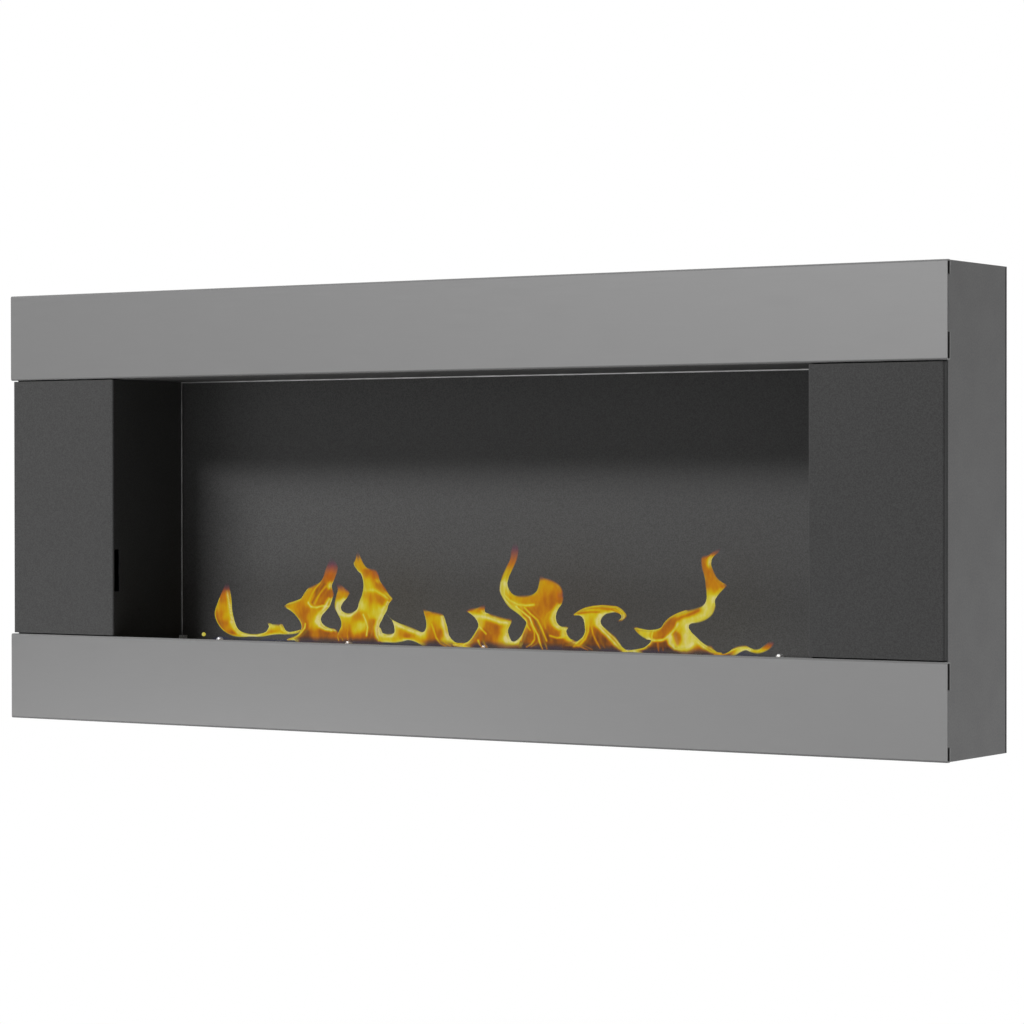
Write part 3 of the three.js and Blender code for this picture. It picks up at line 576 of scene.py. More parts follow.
# Each flame: its outline, then where it cools to a tip (x, height, reach), where it is hotter or
# cooler inside (x, height, reach, heat), and bright or dark folds (width, heat, points). Millimetres
# along the burner and above its deck.
FLAMES = {
    "flame_1": {
        "outline": (
            (-309, 65), (-315, 55), (-319, 45), (-323, 34), (-322, 27), (-317, 19), (-310, 13), (-300, 9),
            (-289, 8), (-276, 9), (-262, 9), (-250, 11), (-240, 12), (-230, 12), (-219, 13), (-211, 15),
            (-210, 18), (-219, 16), (-227, 15), (-232, 17), (-235, 21), (-237, 23), (-244, 23), (-250, 23),
            (-257, 25), (-253, 21), (-254, 18), (-258, 14), (-268, 12), (-280, 12), (-289, 14), (-295, 18),
            (-299, 26), (-302, 36), (-303, 44), (-305, 54),
        ),
        "tips": ((-308, 65, 19),),
        "glows": (
            (-318, 37, 5, 0.62), (-314, 32, 5, 0.40), (-309, 39, 5, 0.55), (-305, 29, 5, 0.72),
            (-308, 21, 6, 0.34), (-302, 18, 4, 0.72), (-300, 12, 5, 0.25), (-312, 52, 7, 0.40),
            (-246, 20, 5, 0.97), (-246, 13, 5, 0.30), (-239, 20, 4, 0.66), (-275, 9, 8, 0.5),
            (-222, 13, 7, 0.4),
        ),
        "folds": (
            (1.5, 0.88, (
                (-316, 48), (-320, 39), (-321, 33), (-320, 28), (-317, 22), (-313, 17), (-309, 14),
            )),
            (2.4, 0.95, (
                (-307, 56), (-305, 47), (-303, 38), (-301, 29), (-297, 20), (-292, 14), (-286, 11),
                (-278, 10),
            )),
            (2.4, 0.95, ((-278, 10), (-269, 10), (-261, 12), (-256, 15), (-253, 18), (-252, 22))),
            (3.6, 0.92, ((-300, 24), (-296, 17), (-290, 12), (-282, 10))),
            (2.0, 0.92, ((-237, 22), (-234, 17), (-227, 14), (-220, 15), (-212, 17))),
        ),
    },
    "flame_2": {
        "outline": (
            (-174, 93), (-179, 86), (-182, 79), (-184, 72), (-188, 67), (-195, 64), (-201, 61), (-206, 55),
            (-210, 50), (-219, 47), (-226, 45), (-232, 41), (-224, 37), (-217, 32), (-211, 25), (-210, 19),
            (-214, 14), (-220, 11), (-229, 8), (-229, 6), (-219, 6), (-213, 1), (-191, 1), (-162, 1),
            (-160, 10), (-167, 19), (-174, 20), (-183, 24), (-186, 28), (-185, 32), (-180, 37), (-175, 43),
            (-173, 49), (-171, 55), (-174, 63), (-170, 72), (-167, 83),
        ),
        "tips": ((-173, 91, 26), (-233, 41, 6)),
        "glows": (
            (-221, 43, 7, 0.60), (-212, 42, 6, 0.48), (-205, 32, 6, 0.34), (-202, 24, 5, 0.32),
            (-196, 30, 4, 0.70), (-194, 22, 5, 0.74), (-189, 34, 5, 0.58), (-203, 55, 7, 0.58),
            (-193, 52, 5, 0.56), (-187, 56, 4, 0.22), (-180, 50, 7, 0.36), (-180, 62, 6, 0.34),
            (-199, 13, 7, 0.12), (-178, 11, 7, 0.25), (-191, 12, 5, 0.55), (-208, 12, 6, 0.2),
            (-166, 10, 5, 0.4),
        ),
        "folds": (
            (1.8, 0.86, ((-231, 42), (-226, 44), (-218, 46), (-210, 49), (-206, 54), (-200, 60))),
            (1.8, 0.90, ((-228, 39), (-221, 34), (-215, 28), (-210, 24))),
            (1.8, 0.74, ((-198, 45), (-194, 54), (-190, 61), (-186, 66))),
            (2.2, 0.26, ((-193, 46), (-189, 53), (-185, 59), (-180, 65))),
            (1.8, 0.68, ((-190, 45), (-187, 51), (-183, 57), (-178, 63))),
            (2.0, 0.93, ((-198, 46), (-195, 42), (-188, 41), (-181, 43), (-176, 42))),
            (3.0, 0.97, (
                (-174, 50), (-178, 42), (-185, 35), (-188, 31), (-189, 27), (-185, 22), (-178, 19),
                (-170, 18),
            )),
            (1.7, 0.92, ((-228, 7), (-219, 9), (-212, 12), (-207, 16), (-203, 20), (-202, 24))),
        ),
    },
    "flame_3": {
        "outline": (
            (-139, 101), (-142, 92), (-145, 86), (-140, 79), (-135, 75), (-133, 66), (-135, 56), (-139, 48),
            (-141, 41), (-147, 37), (-153, 36), (-160, 38), (-162, 42), (-159, 47), (-155, 51), (-152, 56),
            (-156, 61), (-163, 65), (-171, 70), (-166, 60), (-168, 52), (-169, 42), (-165, 35), (-161, 29),
            (-160, 23), (-163, 17), (-165, 10), (-162, 1), (-146, 1), (-129, 1), (-109, 1), (-112, 12),
            (-114, 18), (-114, 24), (-111, 29), (-108, 34), (-104, 39), (-102, 45), (-98, 49), (-95, 51),
            (-101, 57), (-106, 64), (-112, 70), (-113, 76), (-117, 81), (-123, 82), (-130, 84), (-135, 91),
            (-138, 97),
        ),
        "tips": ((-139, 101, 12), (-167, 67, 14), (-157, 62, 8), (-113, 78, 8), (-95, 51, 6)),
        "glows": (
            (-121, 51, 8, 0.48), (-104, 49, 5, 0.38), (-124, 78, 6, 0.34), (-112, 70, 6, 0.28),
            (-102, 59, 5, 0.40), (-139, 33, 5, 0.40), (-119, 23, 5, 0.42), (-137, 22, 6, 0.92),
            (-111, 39, 5, 0.90), (-133, 46, 7, 0.88), (-124, 65, 8, 0.80), (-119, 41, 6, 0.78),
            (-152, 13, 7, 0.32), (-147, 25, 6, 0.55), (-133, 11, 6, 0.28), (-157, 22, 5, 0.55),
            (-138, 86, 8, 0.60), (-158, 55, 6, 0.58), (-130, 33, 4, 0.6), (-166, 44, 4, 0.8),
            (-119, 9, 6, 0.22), (-150, 30, 6, 0.78),
        ),
        "folds": (
            (3.2, 0.97, (
                (-157, 50), (-163, 46), (-165, 40), (-161, 35), (-154, 33), (-147, 34), (-141, 38),
                (-137, 46),
            )),
            (2.0, 0.90, (
                (-137, 46), (-133, 56), (-131, 64), (-132, 71), (-137, 78), (-142, 84), (-143, 88),
            )),
            (3.2, 0.84, ((-129, 60), (-115, 60), (-104, 55), (-98, 51))),
            (2.0, 0.95, ((-131, 35), (-127, 28), (-125, 22), (-126, 14))),
            (3.0, 0.97, ((-105, 43), (-110, 34), (-114, 28), (-116, 22), (-115, 15), (-112, 9))),
            (2.0, 0.85, ((-162, 30), (-159, 25), (-161, 19), (-164, 14))),
            (1.5, 0.90, ((-169, 20), (-165, 14), (-161, 8))),
            (1.5, 0.55, ((-148, 24), (-150, 16), (-149, 9))),
        ),
    },
    "flame_4": {
        "outline": (
            (-106, 37), (-98, 31), (-88, 27), (-79, 25), (-69, 22), (-62, 19), (-58, 19), (-55, 22),
            (-54, 27), (-55, 33), (-57, 39), (-58, 44), (-54, 41), (-48, 40), (-41, 39), (-36, 38),
            (-33, 33), (-30, 25), (-28, 17), (-24, 12), (-18, 9), (-8, 9), (-8, 5), (-14, 1), (-27, 1),
            (-41, 1), (-53, 2), (-62, 6), (-70, 9), (-78, 10), (-86, 8), (-94, 7), (-104, 7), (-112, 7),
            (-115, 14), (-114, 22), (-112, 21), (-110, 17), (-104, 16), (-95, 17), (-94, 22), (-96, 28),
            (-101, 33),
        ),
        "tips": ((-58, 44, 7), (-36, 39, 5)),
        "glows": (
            (-101, 12, 6, 0.75), (-90, 13, 6, 0.72), (-84, 19, 5, 0.42), (-90, 24, 5, 0.80),
            (-79, 20, 5, 0.70), (-70, 15, 5, 0.55), (-58, 14, 6, 0.88), (-48, 33, 6, 0.66),
            (-41, 26, 5, 0.48), (-45, 16, 5, 0.40), (-37, 30, 5, 0.72), (-48, 39, 5, 0.42),
            (-36, 17, 4, 0.34), (-28, 12, 5, 0.8), (-76, 12, 5, 0.12), (-45, 8, 6, 0.15), (-58, 8, 6, 0.35),
        ),
        "folds": (
            (3.4, 0.96, (
                (-103, 34), (-98, 29), (-88, 25), (-79, 22), (-69, 19), (-60, 17), (-56, 21), (-56, 30),
                (-58, 39),
            )),
            (3.2, 0.96, ((-35, 35), (-32, 26), (-30, 18), (-26, 12), (-18, 8), (-8, 7))),
            (3.2, 0.97, ((-114, 22), (-111, 15), (-104, 13), (-95, 14), (-92, 19), (-94, 26))),
            (1.6, 0.80, ((-45, 27), (-42, 20), (-40, 14), (-35, 8), (-28, 5))),
        ),
    },
    "flame_5": {
        "outline": (
            (-22, 9), (-10, 9), (-3, 12), (2, 18), (6, 24), (7, 28), (4, 33), (-1, 37), (-5, 39), (-9, 40),
            (-5, 43), (-2, 44), (6, 45), (14, 48), (14, 41), (20, 39), (29, 37), (39, 35), (47, 34),
            (45, 28), (42, 23), (43, 18), (46, 13), (50, 12), (55, 15), (60, 20), (64, 26), (65, 31),
            (67, 29), (66, 21), (62, 14), (59, 8), (57, 1), (40, 1), (20, 1), (4, 1), (-8, 4), (-21, 5),
        ),
        "tips": ((-9, 41, 7), (14, 48, 8), (47, 34, 4)),
        "glows": (
            (28, 24, 8, 0.34), (0, 41, 4, 0.38), (10, 43, 5, 0.46), (13, 17, 5, 0.30), (28, 14, 6, 0.40),
            (4, 13, 5, 0.30), (40, 23, 4, 0.72), (12, 29, 4, 0.72), (4, 37, 5, 0.78), (37, 13, 5, 0.78),
            (20, 8, 6, 0.22),
        ),
        "folds": (
            (2.4, 0.95, ((-22, 7), (-10, 7), (-3, 10), (3, 16), (8, 24), (8, 29))),
            (4.8, 0.98, ((6, 36), (13, 36), (24, 34), (35, 31), (43, 30))),
            (1.6, 0.88, ((7, 28), (13, 24), (19, 19))),
            (3.0, 0.80, ((42, 28), (40, 22), (40, 16))),
            (4.4, 0.98, ((41, 15), (44, 11), (50, 10), (56, 12), (61, 18), (64, 25))),
            (2.2, 0.90, ((10, 12), (12, 8), (15, 5))),
        ),
    },
    "flame_6": {
        "outline": (
            (52, 112), (48, 103), (47, 94), (42, 85), (37, 76), (34, 67), (34, 60), (39, 52), (45, 45),
            (54, 40), (61, 35), (65, 31), (63, 26), (59, 19), (56, 13), (54, 7), (53, 1), (74, 1), (95, 1),
            (112, 1), (124, 1), (125, 8), (125, 13), (121, 15), (116, 16), (112, 20), (111, 24), (114, 28),
            (106, 28), (101, 31), (99, 37), (101, 44), (106, 51), (107, 58), (105, 65), (101, 70), (93, 74),
            (85, 76), (81, 78), (80, 70), (78, 63), (72, 59), (62, 58), (53, 58), (47, 61), (43, 68),
            (45, 75), (50, 84), (54, 92), (56, 103),
        ),
        "tips": ((53, 110, 30), (83, 79, 8), (107, 59, 7)),
        "glows": (
            (104, 58, 6, 0.40), (97, 51, 7, 0.38), (73, 54, 7, 0.52), (93, 67, 7, 0.54), (82, 44, 7, 0.42),
            (67, 27, 5, 0.38), (47, 63, 5, 0.62), (50, 93, 8, 0.46), (41, 80, 7, 0.66), (39, 67, 5, 0.88),
            (57, 53, 5, 0.60), (84, 71, 7, 0.58), (64, 16, 5, 0.24), (99, 24, 5, 0.36), (97, 11, 7, 0.20),
            (108, 12, 6, 0.22), (78, 14, 4, 0.28), (112, 21, 4, 0.75), (70, 42, 4, 0.34), (94, 37, 5, 0.5),
            (57, 43, 4, 0.8),
        ),
        "folds": (
            (3.2, 0.20, ((76, 37), (82, 26), (88, 15))),
            (2.0, 0.26, ((59, 46), (66, 39), (73, 31))),
            (3.8, 0.94, ((38, 70), (37, 62), (42, 53), (50, 46))),
            (2.2, 0.88, ((50, 46), (58, 40), (66, 34), (67, 29))),
            (2.0, 0.90, ((41, 64), (42, 58), (48, 53), (58, 49), (68, 48), (77, 49))),
            (1.6, 0.84, ((66, 46), (73, 40), (81, 34), (86, 25), (91, 14))),
            (1.9, 0.96, ((56, 47), (66, 40), (72, 36), (75, 29), (81, 19), (83, 12), (86, 5))),
            (1.5, 0.80, ((73, 31), (77, 22), (77, 15), (73, 10), (67, 7))),
            (1.6, 0.82, ((61, 36), (67, 29), (72, 24))),
            (1.7, 0.80, ((95, 19), (103, 17), (112, 18), (118, 15))),
            (1.8, 0.58, ((101, 46), (92, 40), (89, 34), (90, 26))),
            (2.0, 0.82, ((65, 27), (62, 20), (60, 14))),
            (3.6, 0.93, ((104, 49), (99, 42), (97, 36), (99, 30), (105, 26), (110, 26), (109, 20))),
        ),
    },
    "flame_7": {
        "outline": (
            (111, 24), (112, 20), (115, 16), (118, 14), (123, 14), (129, 18), (132, 23), (132, 28),
            (131, 33), (129, 37), (125, 39), (118, 39), (123, 43), (131, 47), (140, 49), (150, 50),
            (159, 50), (168, 49), (174, 46), (178, 42), (179, 39), (176, 36), (172, 34), (167, 34),
            (173, 38), (172, 41), (166, 43), (160, 42), (155, 41), (150, 37), (149, 33), (151, 30),
            (155, 27), (161, 23), (166, 20), (170, 15), (174, 10), (179, 7), (184, 7), (184, 5), (176, 4),
            (172, 1), (149, 1), (123, 1), (107, 1), (107, 13), (109, 20),
        ),
        "tips": ((166, 33, 7),),
        "glows": (
            (143, 34, 4, 0.55), (160, 46, 6, 0.62), (172, 37, 5, 0.38), (146, 24, 5, 0.26),
            (121, 8, 6, 0.22), (135, 40, 6, 0.76), (150, 40, 4, 0.72), (175, 43, 4, 0.82),
            (131, 45, 6, 0.74), (150, 14, 8, 0.16), (161, 12, 5, 0.22), (140, 11, 5, 0.14),
            (146, 34, 4, 0.80),
        ),
        "folds": (
            (2.0, 0.46, ((138, 47), (150, 47), (163, 46), (172, 42))),
            (1.8, 0.80, (
                (120, 40), (124, 43), (131, 46), (140, 48), (150, 49), (168, 48), (174, 45), (178, 41),
            )),
            (1.8, 0.42, ((125, 41), (131, 42), (140, 43), (150, 43))),
            (1.6, 0.64, ((141, 31), (144, 21), (148, 14), (152, 8))),
            (2.6, 0.76, ((138, 39), (138, 31), (138, 24), (135, 17), (129, 11), (122, 9))),
            (3.0, 0.90, (
                (131, 38), (133, 30), (134, 24), (131, 18), (124, 12), (117, 12), (110, 17), (109, 22),
            )),
            (3.6, 0.97, ((150, 40), (147, 35), (148, 30), (155, 24), (164, 17), (172, 9), (179, 6))),
            (1.5, 0.72, ((113, 10), (123, 10), (130, 9), (138, 6))),
        ),
    },
    "flame_8": {
        "outline": (
            (175, 7), (182, 7), (190, 8), (199, 10), (205, 14), (207, 17), (201, 18), (195, 21), (190, 25),
            (186, 30), (196, 28), (205, 27), (214, 28), (219, 30), (223, 35), (229, 40), (237, 44),
            (246, 47), (256, 49), (264, 52), (267, 57), (267, 63), (266, 70), (265, 78), (262, 87),
            (261, 95), (263, 99), (269, 100), (274, 103), (281, 106), (286, 109), (281, 102), (274, 97),
            (272, 91), (274, 86), (278, 79), (284, 74), (290, 71), (284, 66), (279, 61), (276, 56),
            (277, 50), (274, 43), (268, 38), (260, 35), (252, 34), (249, 31), (252, 26), (257, 22),
            (263, 17), (269, 14), (273, 14), (275, 12), (279, 8), (285, 7), (285, 5), (279, 1), (250, 1),
            (220, 1), (200, 1), (193, 4), (183, 5), (175, 5),
        ),
        "tips": ((186, 30, 6), (285, 108, 17), (290, 71, 6)),
        "glows": (
            (200, 23, 6, 0.86), (191, 26, 4, 0.48), (214, 24, 4, 0.48), (229, 33, 5, 0.38),
            (250, 38, 6, 0.84), (270, 52, 5, 0.92), (271, 62, 5, 0.82), (271, 75, 8, 0.46),
            (281, 69, 5, 0.46), (268, 90, 10, 0.40), (247, 31, 5, 0.78), (253, 20, 7, 0.92),
            (239, 20, 3.5, 0.32), (233, 17, 3, 0.90), (260, 10, 5, 0.36), (210, 10, 7, 0.10),
            (227, 9, 5, 0.10), (262, 44, 5, 0.80),
        ),
        "folds": (
            (4.4, 0.36, ((219, 25), (228, 33), (239, 38), (250, 42), (261, 47))),
            (1.8, 0.84, (
                (190, 28), (205, 26), (214, 27), (219, 30), (223, 34), (229, 39), (237, 43), (246, 46),
            )),
            (4.4, 0.90, ((246, 37), (258, 39), (267, 43), (272, 50), (272, 60))),
            (2.2, 0.93, ((175, 6), (183, 6), (191, 7), (200, 9), (206, 15))),
            (2.6, 0.94, ((203, 18), (216, 17), (223, 18), (230, 22), (236, 28), (240, 34))),
            (4.6, 0.98, ((232, 21), (231, 15), (236, 10), (244, 9), (251, 11), (256, 15))),
            (3.0, 0.94, ((249, 29), (254, 22), (260, 17), (267, 12), (275, 8), (284, 6))),
            (1.8, 0.86, ((211, 27), (210, 18))),
            (2.6, 0.42, ((217, 15), (218, 6))),
            (1.8, 0.62, ((274, 92), (277, 83), (283, 75), (288, 71))),
        ),
    },
    "flame_9": {
        "outline": (
            (276, 6), (286, 6), (292, 8), (296, 11), (302, 14), (310, 15), (317, 12), (325, 12), (331, 16),
            (336, 19), (342, 19), (338, 13), (331, 9), (324, 7), (317, 8), (311, 10), (305, 8), (298, 4),
            (290, 1), (282, 1),
        ),
        "tips": ((342, 19, 12),),
        "glows": ((308, 11, 6, 0.75), (324, 9, 6, 0.70), (335, 15, 6, 0.38), (296, 7, 5, 0.4)),
        "folds": ((2.0, 0.92, ((277, 5), (286, 5), (292, 7), (297, 10), (303, 12), (310, 13), (317, 11))),),
    },
}

# Sizes and places of the flames, in millimetres
SPARK = (-338.5, 9.9, 2.1)  # a bead of flame past the slot's left end: place along, height and radius
SPARK_FIRE = (0.9, 0.0, 0.6, 1.0)  # its heat, cooling and cover
FOOT = -1.2  # lower end of the root, inside the slot
FOOT_HEIGHT = 3  # an outline's sides below this are the flame's foot
NO_FOOT = 99.0  # the rise over the foot in a flame that has none
SWAY = 2.5  # how far the flames lean to front and back
ROOT_HEIGHT = 9  # the clear blue root along the whole slot
ROOT_HALF = 333  # half its length
ROOT_PITCH = 4  # distance between its sections
ROOT_RADIUS = 3.5  # to front and back
ROOT_SECTION = [2 * math.pi * k / 12 for k in range(12)]


def curve_through(points, step):
    """A closed smooth line through points, with a point about every step."""
    line = []
    count = len(points)
    for i in range(count):
        a, b, c, d = (Vector(points[(i + k) % count]) for k in (-1, 0, 1, 2))
        parts = max(1, round((c - b).length / step))
        for j in range(parts):
            t = j / parts
            square, cube = (2 * a - 5 * b + 4 * c - d), (3 * b - a - 3 * c + d)
            line.append(0.5 * (2 * b + (c - a) * t + square * t * t + cube * t ** 3))
    return line


def distance_to(point, a, b):
    """How far a point is from the straight line between a and b."""
    along = b - a
    t = max(0.0, min(1.0, (point - a).dot(along) / max(along.length_squared, 1e-9)))
    return (point - a - along * t).length


class Rim:
    """A flame's outline: how far it is from a point, and how hot it burns there.
    Vapour burns hottest where the outline is hollow or faces down, and cools where it swells upwards."""

    cell = 6.0  # side of the squares that sort its segments
    rings = 3  # it is looked for in the squares this far round a point
    bend_reach = 6  # its bend is taken over this much of the outline, either way
    plain, by_hollow, by_facing_up, by_height = 0.60, 0.85, 0.28, 0.0035  # what its heat is made of

    def __init__(self, line, step):
        self.grid = {}
        count = len(line)
        reach = max(1, round(self.bend_reach / step))
        side = math.copysign(1, sum(a.x * b.y - b.x * a.y for a, b in zip(line, line[1:] + line[:1])))
        for i, a in enumerate(line):
            b = line[(i + 1) % count]
            before, after = line[i - reach], line[(i + reach) % count]
            hollow = side * (a - before).angle_signed(after - a, 0)
            facing_up = side * (before.x - after.x) / max((after - before).length, 1e-6)
            heat = self.plain + self.by_hollow * hollow - self.by_facing_up * facing_up - self.by_height * a.y
            key = (math.floor(a.x / self.cell), math.floor(a.y / self.cell))
            self.grid.setdefault(key, []).append((a, b, max(0.0, min(1.0, heat))))

    def nearest(self, point):
        """The distance to the outline and its heat there."""
        kx, ky = math.floor(point.x / self.cell), math.floor(point.y / self.cell)
        best = (self.rings * self.cell, 0.5)
        for ring in range(self.rings):
            for i in range(kx - ring, kx + ring + 1):
                for j in range(ky - ring, ky + ring + 1):
                    if max(abs(i - kx), abs(j - ky)) == ring:
                        for a, b, heat in self.grid.get((i, j), ()):
                            best = min(best, (distance_to(point, a, b), heat))
            if best[0] <= ring * self.cell:
                break
        return best


def flame_mesh(name, flame, settings):
    """A flame as a lens-shaped body round its outline, with its heat written on its points."""
    step = settings.grain
    sides = zip(flame["outline"], flame["outline"][1:])
    flame = {
        "foot": [(Vector(a), Vector(b)) for a, b in sides if max(a[1], b[1]) < FOOT_HEIGHT],
        "folds": [(width, heat, [Vector(p) for p in points]) for width, heat, points in flame["folds"]],
        "glows": [(Vector((x, height)), reach, heat) for x, height, reach, heat in flame["glows"]],
        "tips": [(Vector((x, height)), reach) for x, height, reach in flame["tips"]],
        "outline": flame["outline"],
    }
    line = curve_through(flame["outline"], step)
    rim = Rim(line, step)
    left, right = min(p.x for p in line), max(p.x for p in line)
    bottom, top = min(p.y for p in line), max(p.y for p in line)
    inner = []
    for j in range(math.ceil((top - bottom) / step)):
        for i in range(math.ceil((right - left) / step)):
            point = Vector((left + (i + 0.5 * (j % 2)) * step, bottom + (j + 0.5) * step))
            if rim.nearest(point)[0] > 0.6 * step:
                inner.append(point)
    count = len(line)
    edges = [(i, (i + 1) % count) for i in range(count)]
    points, _, faces, *_ = delaunay_2d_cdt(line + inner, edges, [list(range(count))], 1, 1e-5)
    used = sorted({i for face in faces for i in face})

    bm = bmesh.new()
    fire = bm.verts.layers.float_color.new("fire")
    depth = settings.thickness / MM / 2
    front, back = {}, {}
    for i in used:
        point = points[i]
        inset, heat = (0.0, rim.nearest(point)[1]) if i < count else rim.nearest(point)
        state = (*flame_state(flame, point, inset, heat), 1.0)
        bulge = depth * math.sqrt(1 - (1 - min(inset / (2 * depth), 1)) ** 2)
        sway = SWAY * math.sin(point.x / 23 + point.y / 31) * min(max(point.y, 0) / 60, 1)
        for side, verts in ((-1, front), (1, back)):
            if side > 0 and inset < 1e-6:
                back[i] = front[i]
                continue
            place = (point.x * MM, slot_middle + (sway + side * bulge) * MM, deck_top + point.y * MM)
            verts[i] = bm.verts.new(place)
            verts[i][fire] = state
    for face in faces:
        bm.faces.new([front[i] for i in face])
        if any(front[i] is not back[i] for i in face):
            bm.faces.new([back[i] for i in reversed(face)])
    bmesh.ops.recalc_face_normals(bm, faces=bm.faces)
    return mesh_of(name, bm)


def ease(value, low, high):
    """0 below low, 1 above high and a smooth step between."""
    t = max(0.0, min(1.0, (value - low) / (high - low)))
    return t * t * (3 - 2 * t)


LIT = (3, 12)  # a flame starts to glow at the first rise over its foot and is fully lit at the second
FOOT_COVER = 0.2  # how much of what lies behind is hidden by the foot
DARK_FOOT = 0.35  # the heat that the foot lacks
SKIN_DEPTH = (0.7, 2.2)  # depth of the skin where it is cool, and what heat adds to it
SKIN_HEAT = (0.58, 0.42)  # the same for its heat
FOLD_EDGE = 0.58  # a fold fades at this share of its width
BRIGHT_FOLD = 0.4  # folds hotter than this grow dimmer towards the foot
OPAQUE_FOLD = 0.3  # folds hotter than this hide what lies behind


def flame_state(flame, point, inset, rim_heat):
    """Heat, cooling and cover of a flame at a point that lies inset inside its outline."""
    heat, weight = 0.0, 0.0
    for place, reach, value in flame["glows"]:
        share = math.exp(-((point - place).length / reach) ** 2) + 1e-4
        heat += share * value
        weight += share
    heat /= weight
    tip = max(0.0, *[1 - (point - place).length / reach for place, reach in flame["tips"]])

    # a flame rises clear and dark out of the slot and only then glows
    rise = min([distance_to(point, a, b) for a, b in flame["foot"]], default=NO_FOOT)
    lit = ease(rise, *LIT)
    heat -= DARK_FOOT * (1 - lit)
    cover = FOOT_COVER * ease(rise, 0, 4) + (1 - FOOT_COVER) * lit

    # its skin: a bright line where it burns hot, a soft red edge where it cools
    hot = rim_heat * (1 - ease(tip, 0.1, 0.8))
    skin = math.exp(-(inset / (SKIN_DEPTH[0] + SKIN_DEPTH[1] * hot)) ** 2) * ease(rise, 2, 7)
    heat += (SKIN_HEAT[0] + SKIN_HEAT[1] * hot - heat) * skin * min(1.0, 0.35 + 0.9 * hot)
    cover = max(cover, skin * hot)
    cover *= ease(inset, -0.3, 3.8 - 2.8 * hot)
    cooling = max(1.25 * tip, 0.7 * (1 - ease(hot, 0.05, 0.35)) * math.exp(-(inset / 2.0) ** 2))

    for width, value, fold in flame["folds"]:
        nearest = min(distance_to(point, a, b) for a, b in zip(fold, fold[1:]))
        share = math.exp(-(nearest / (FOLD_EDGE * width)) ** 2) * ease(rise, 1, 4)
        if value > BRIGHT_FOLD:
            value *= 0.6 + 0.4 * lit
        heat += (value - heat) * share
        if value > OPAQUE_FOLD:
            cover = max(cover, share * (1 - ease(tip, 0.3, 0.9)))
            cooling *= 1 - share * (1 - ease(tip, 0.2, 0.7))
    cover *= 1 - min(1.0, tip) ** 2.5
    layer = 1 - math.sqrt(1 - min(0.98, cover))  # the body's front and back both cover
    return max(0.0, min(1.0, heat)), max(0.0, min(1.0, cooling)), layer


def root_mesh():
    """The clear blue root that runs along the whole slot and carries the flames."""
    bm = bmesh.new()
    steps = round(2 * ROOT_HALF / ROOT_PITCH)
    rows = []
    for i in range(steps + 1):
        x = -ROOT_HALF + 2 * ROOT_HALF * i / steps
        flicker = 0.75 + 0.25 * math.sin(x / 13) * math.sin(x / 7.3 + 1)
        height = ROOT_HEIGHT * flicker * min(1, (ROOT_HALF - abs(x)) / 12 + 0.2)
        section = [
            (math.cos(t) * ROOT_RADIUS, FOOT + (height - FOOT) * (0.5 + 0.5 * math.sin(t)))
            for t in ROOT_SECTION
        ]
        rows.append([bm.verts.new((x * MM, slot_middle + y * MM, deck_top + z * MM)) for y, z in section])
    for a, b in zip(rows, rows[1:]):
        for k in range(len(a)):
            bm.faces.new((a[k], a[k - 1], b[k - 1], b[k]))
    bm.faces.new(rows[0])
    bm.faces.new(reversed(rows[-1]))
    bmesh.ops.recalc_face_normals(bm, faces=bm.faces)
    return mesh_of("flame_root", bm)


def spark_mesh():
    """A bead of burning vapour past the slot's end."""
    x, height, radius = SPARK
    bm = bmesh.new()
    fire = bm.verts.layers.float_color.new("fire")
    place = Matrix.Translation((x * MM, slot_middle, deck_top + height * MM))
    bmesh.ops.create_uvsphere(bm, u_segments=24, v_segments=12, radius=radius * MM, matrix=place)
    for vert in bm.verts:
        vert[fire] = SPARK_FIRE
    return mesh_of("flame_spark", bm)


# ---- settings ----


def colour(name, description, hex_colour):
    """A colour that a user may change."""
    return bpy.props.FloatVectorProperty(
        name=name, description=description, subtype="COLOR", size=4, min=0, max=1, default=linear(hex_colour)
    )


def length(name, description, millimetres):
    """A length that a user may change."""
    return bpy.props.FloatProperty(
        name=name, description=description, subtype="DISTANCE", unit="LENGTH", default=millimetres * MM
    )


class FireplaceFinish(bpy.types.PropertyGroup):
    casing: colour("Casing", "Satin powder coat of the casing", "#575757")
    band: colour("Bands", "Satin steel of the two bands", "#747474")
    black: colour("Columns", "Sand-texture powder coat of the columns", "#3A3A3A")
    # a lighter black than the columns', painted light on the firebox back and ceiling
    lining: colour("Firebox", "Heat-proof black paint of the firebox lining", "#444444")
    # the rim's light metal is a painted highlight line along the firebox back
    edge: colour("Bare edge", "Cut edge of the firebox back, rubbed through to the steel", "#B0B0B0")
    stainless: colour("Burner", "Brushed stainless steel of the burner", "#B9B9B8")
    chrome: colour("Nuts and washers", "Polished nickel-chrome", "#F2F2F2")
    zinc: colour("Screws and brackets", "Zinc plate", "#A9ABAC")
    fibre: colour("Fibre", "Ceramic fibre blanket", "#E6E2D8")
    flame_glow: bpy.props.FloatProperty(
        name="Flame glow", description="Strength of the flames' light", min=0, default=1.0
    )


class FireplaceHardware(bpy.types.PropertyGroup):
    across: length("Across flats", "Width of a domed nut over its flats", 7.0)
    hexagon: length("Hexagon height", "Height of a nut's hexagon", 2.2)
    washer_bore: length("Washer bore", "Radius of the hole in a guide washer", 2.3)
    washer_edge: length("Washer edge", "Radius of the washer's edges", 0.15)
    wire_radius: length("Wire radius", "Radius of the gauze's wires", 0.25)
    mesh_pitch: length("Mesh pitch", "Distance between the gauze's wires", 3.2)
    fibre_pitch: length("Fibre grid", "Spacing of the points that shape the blanket", 3.0)


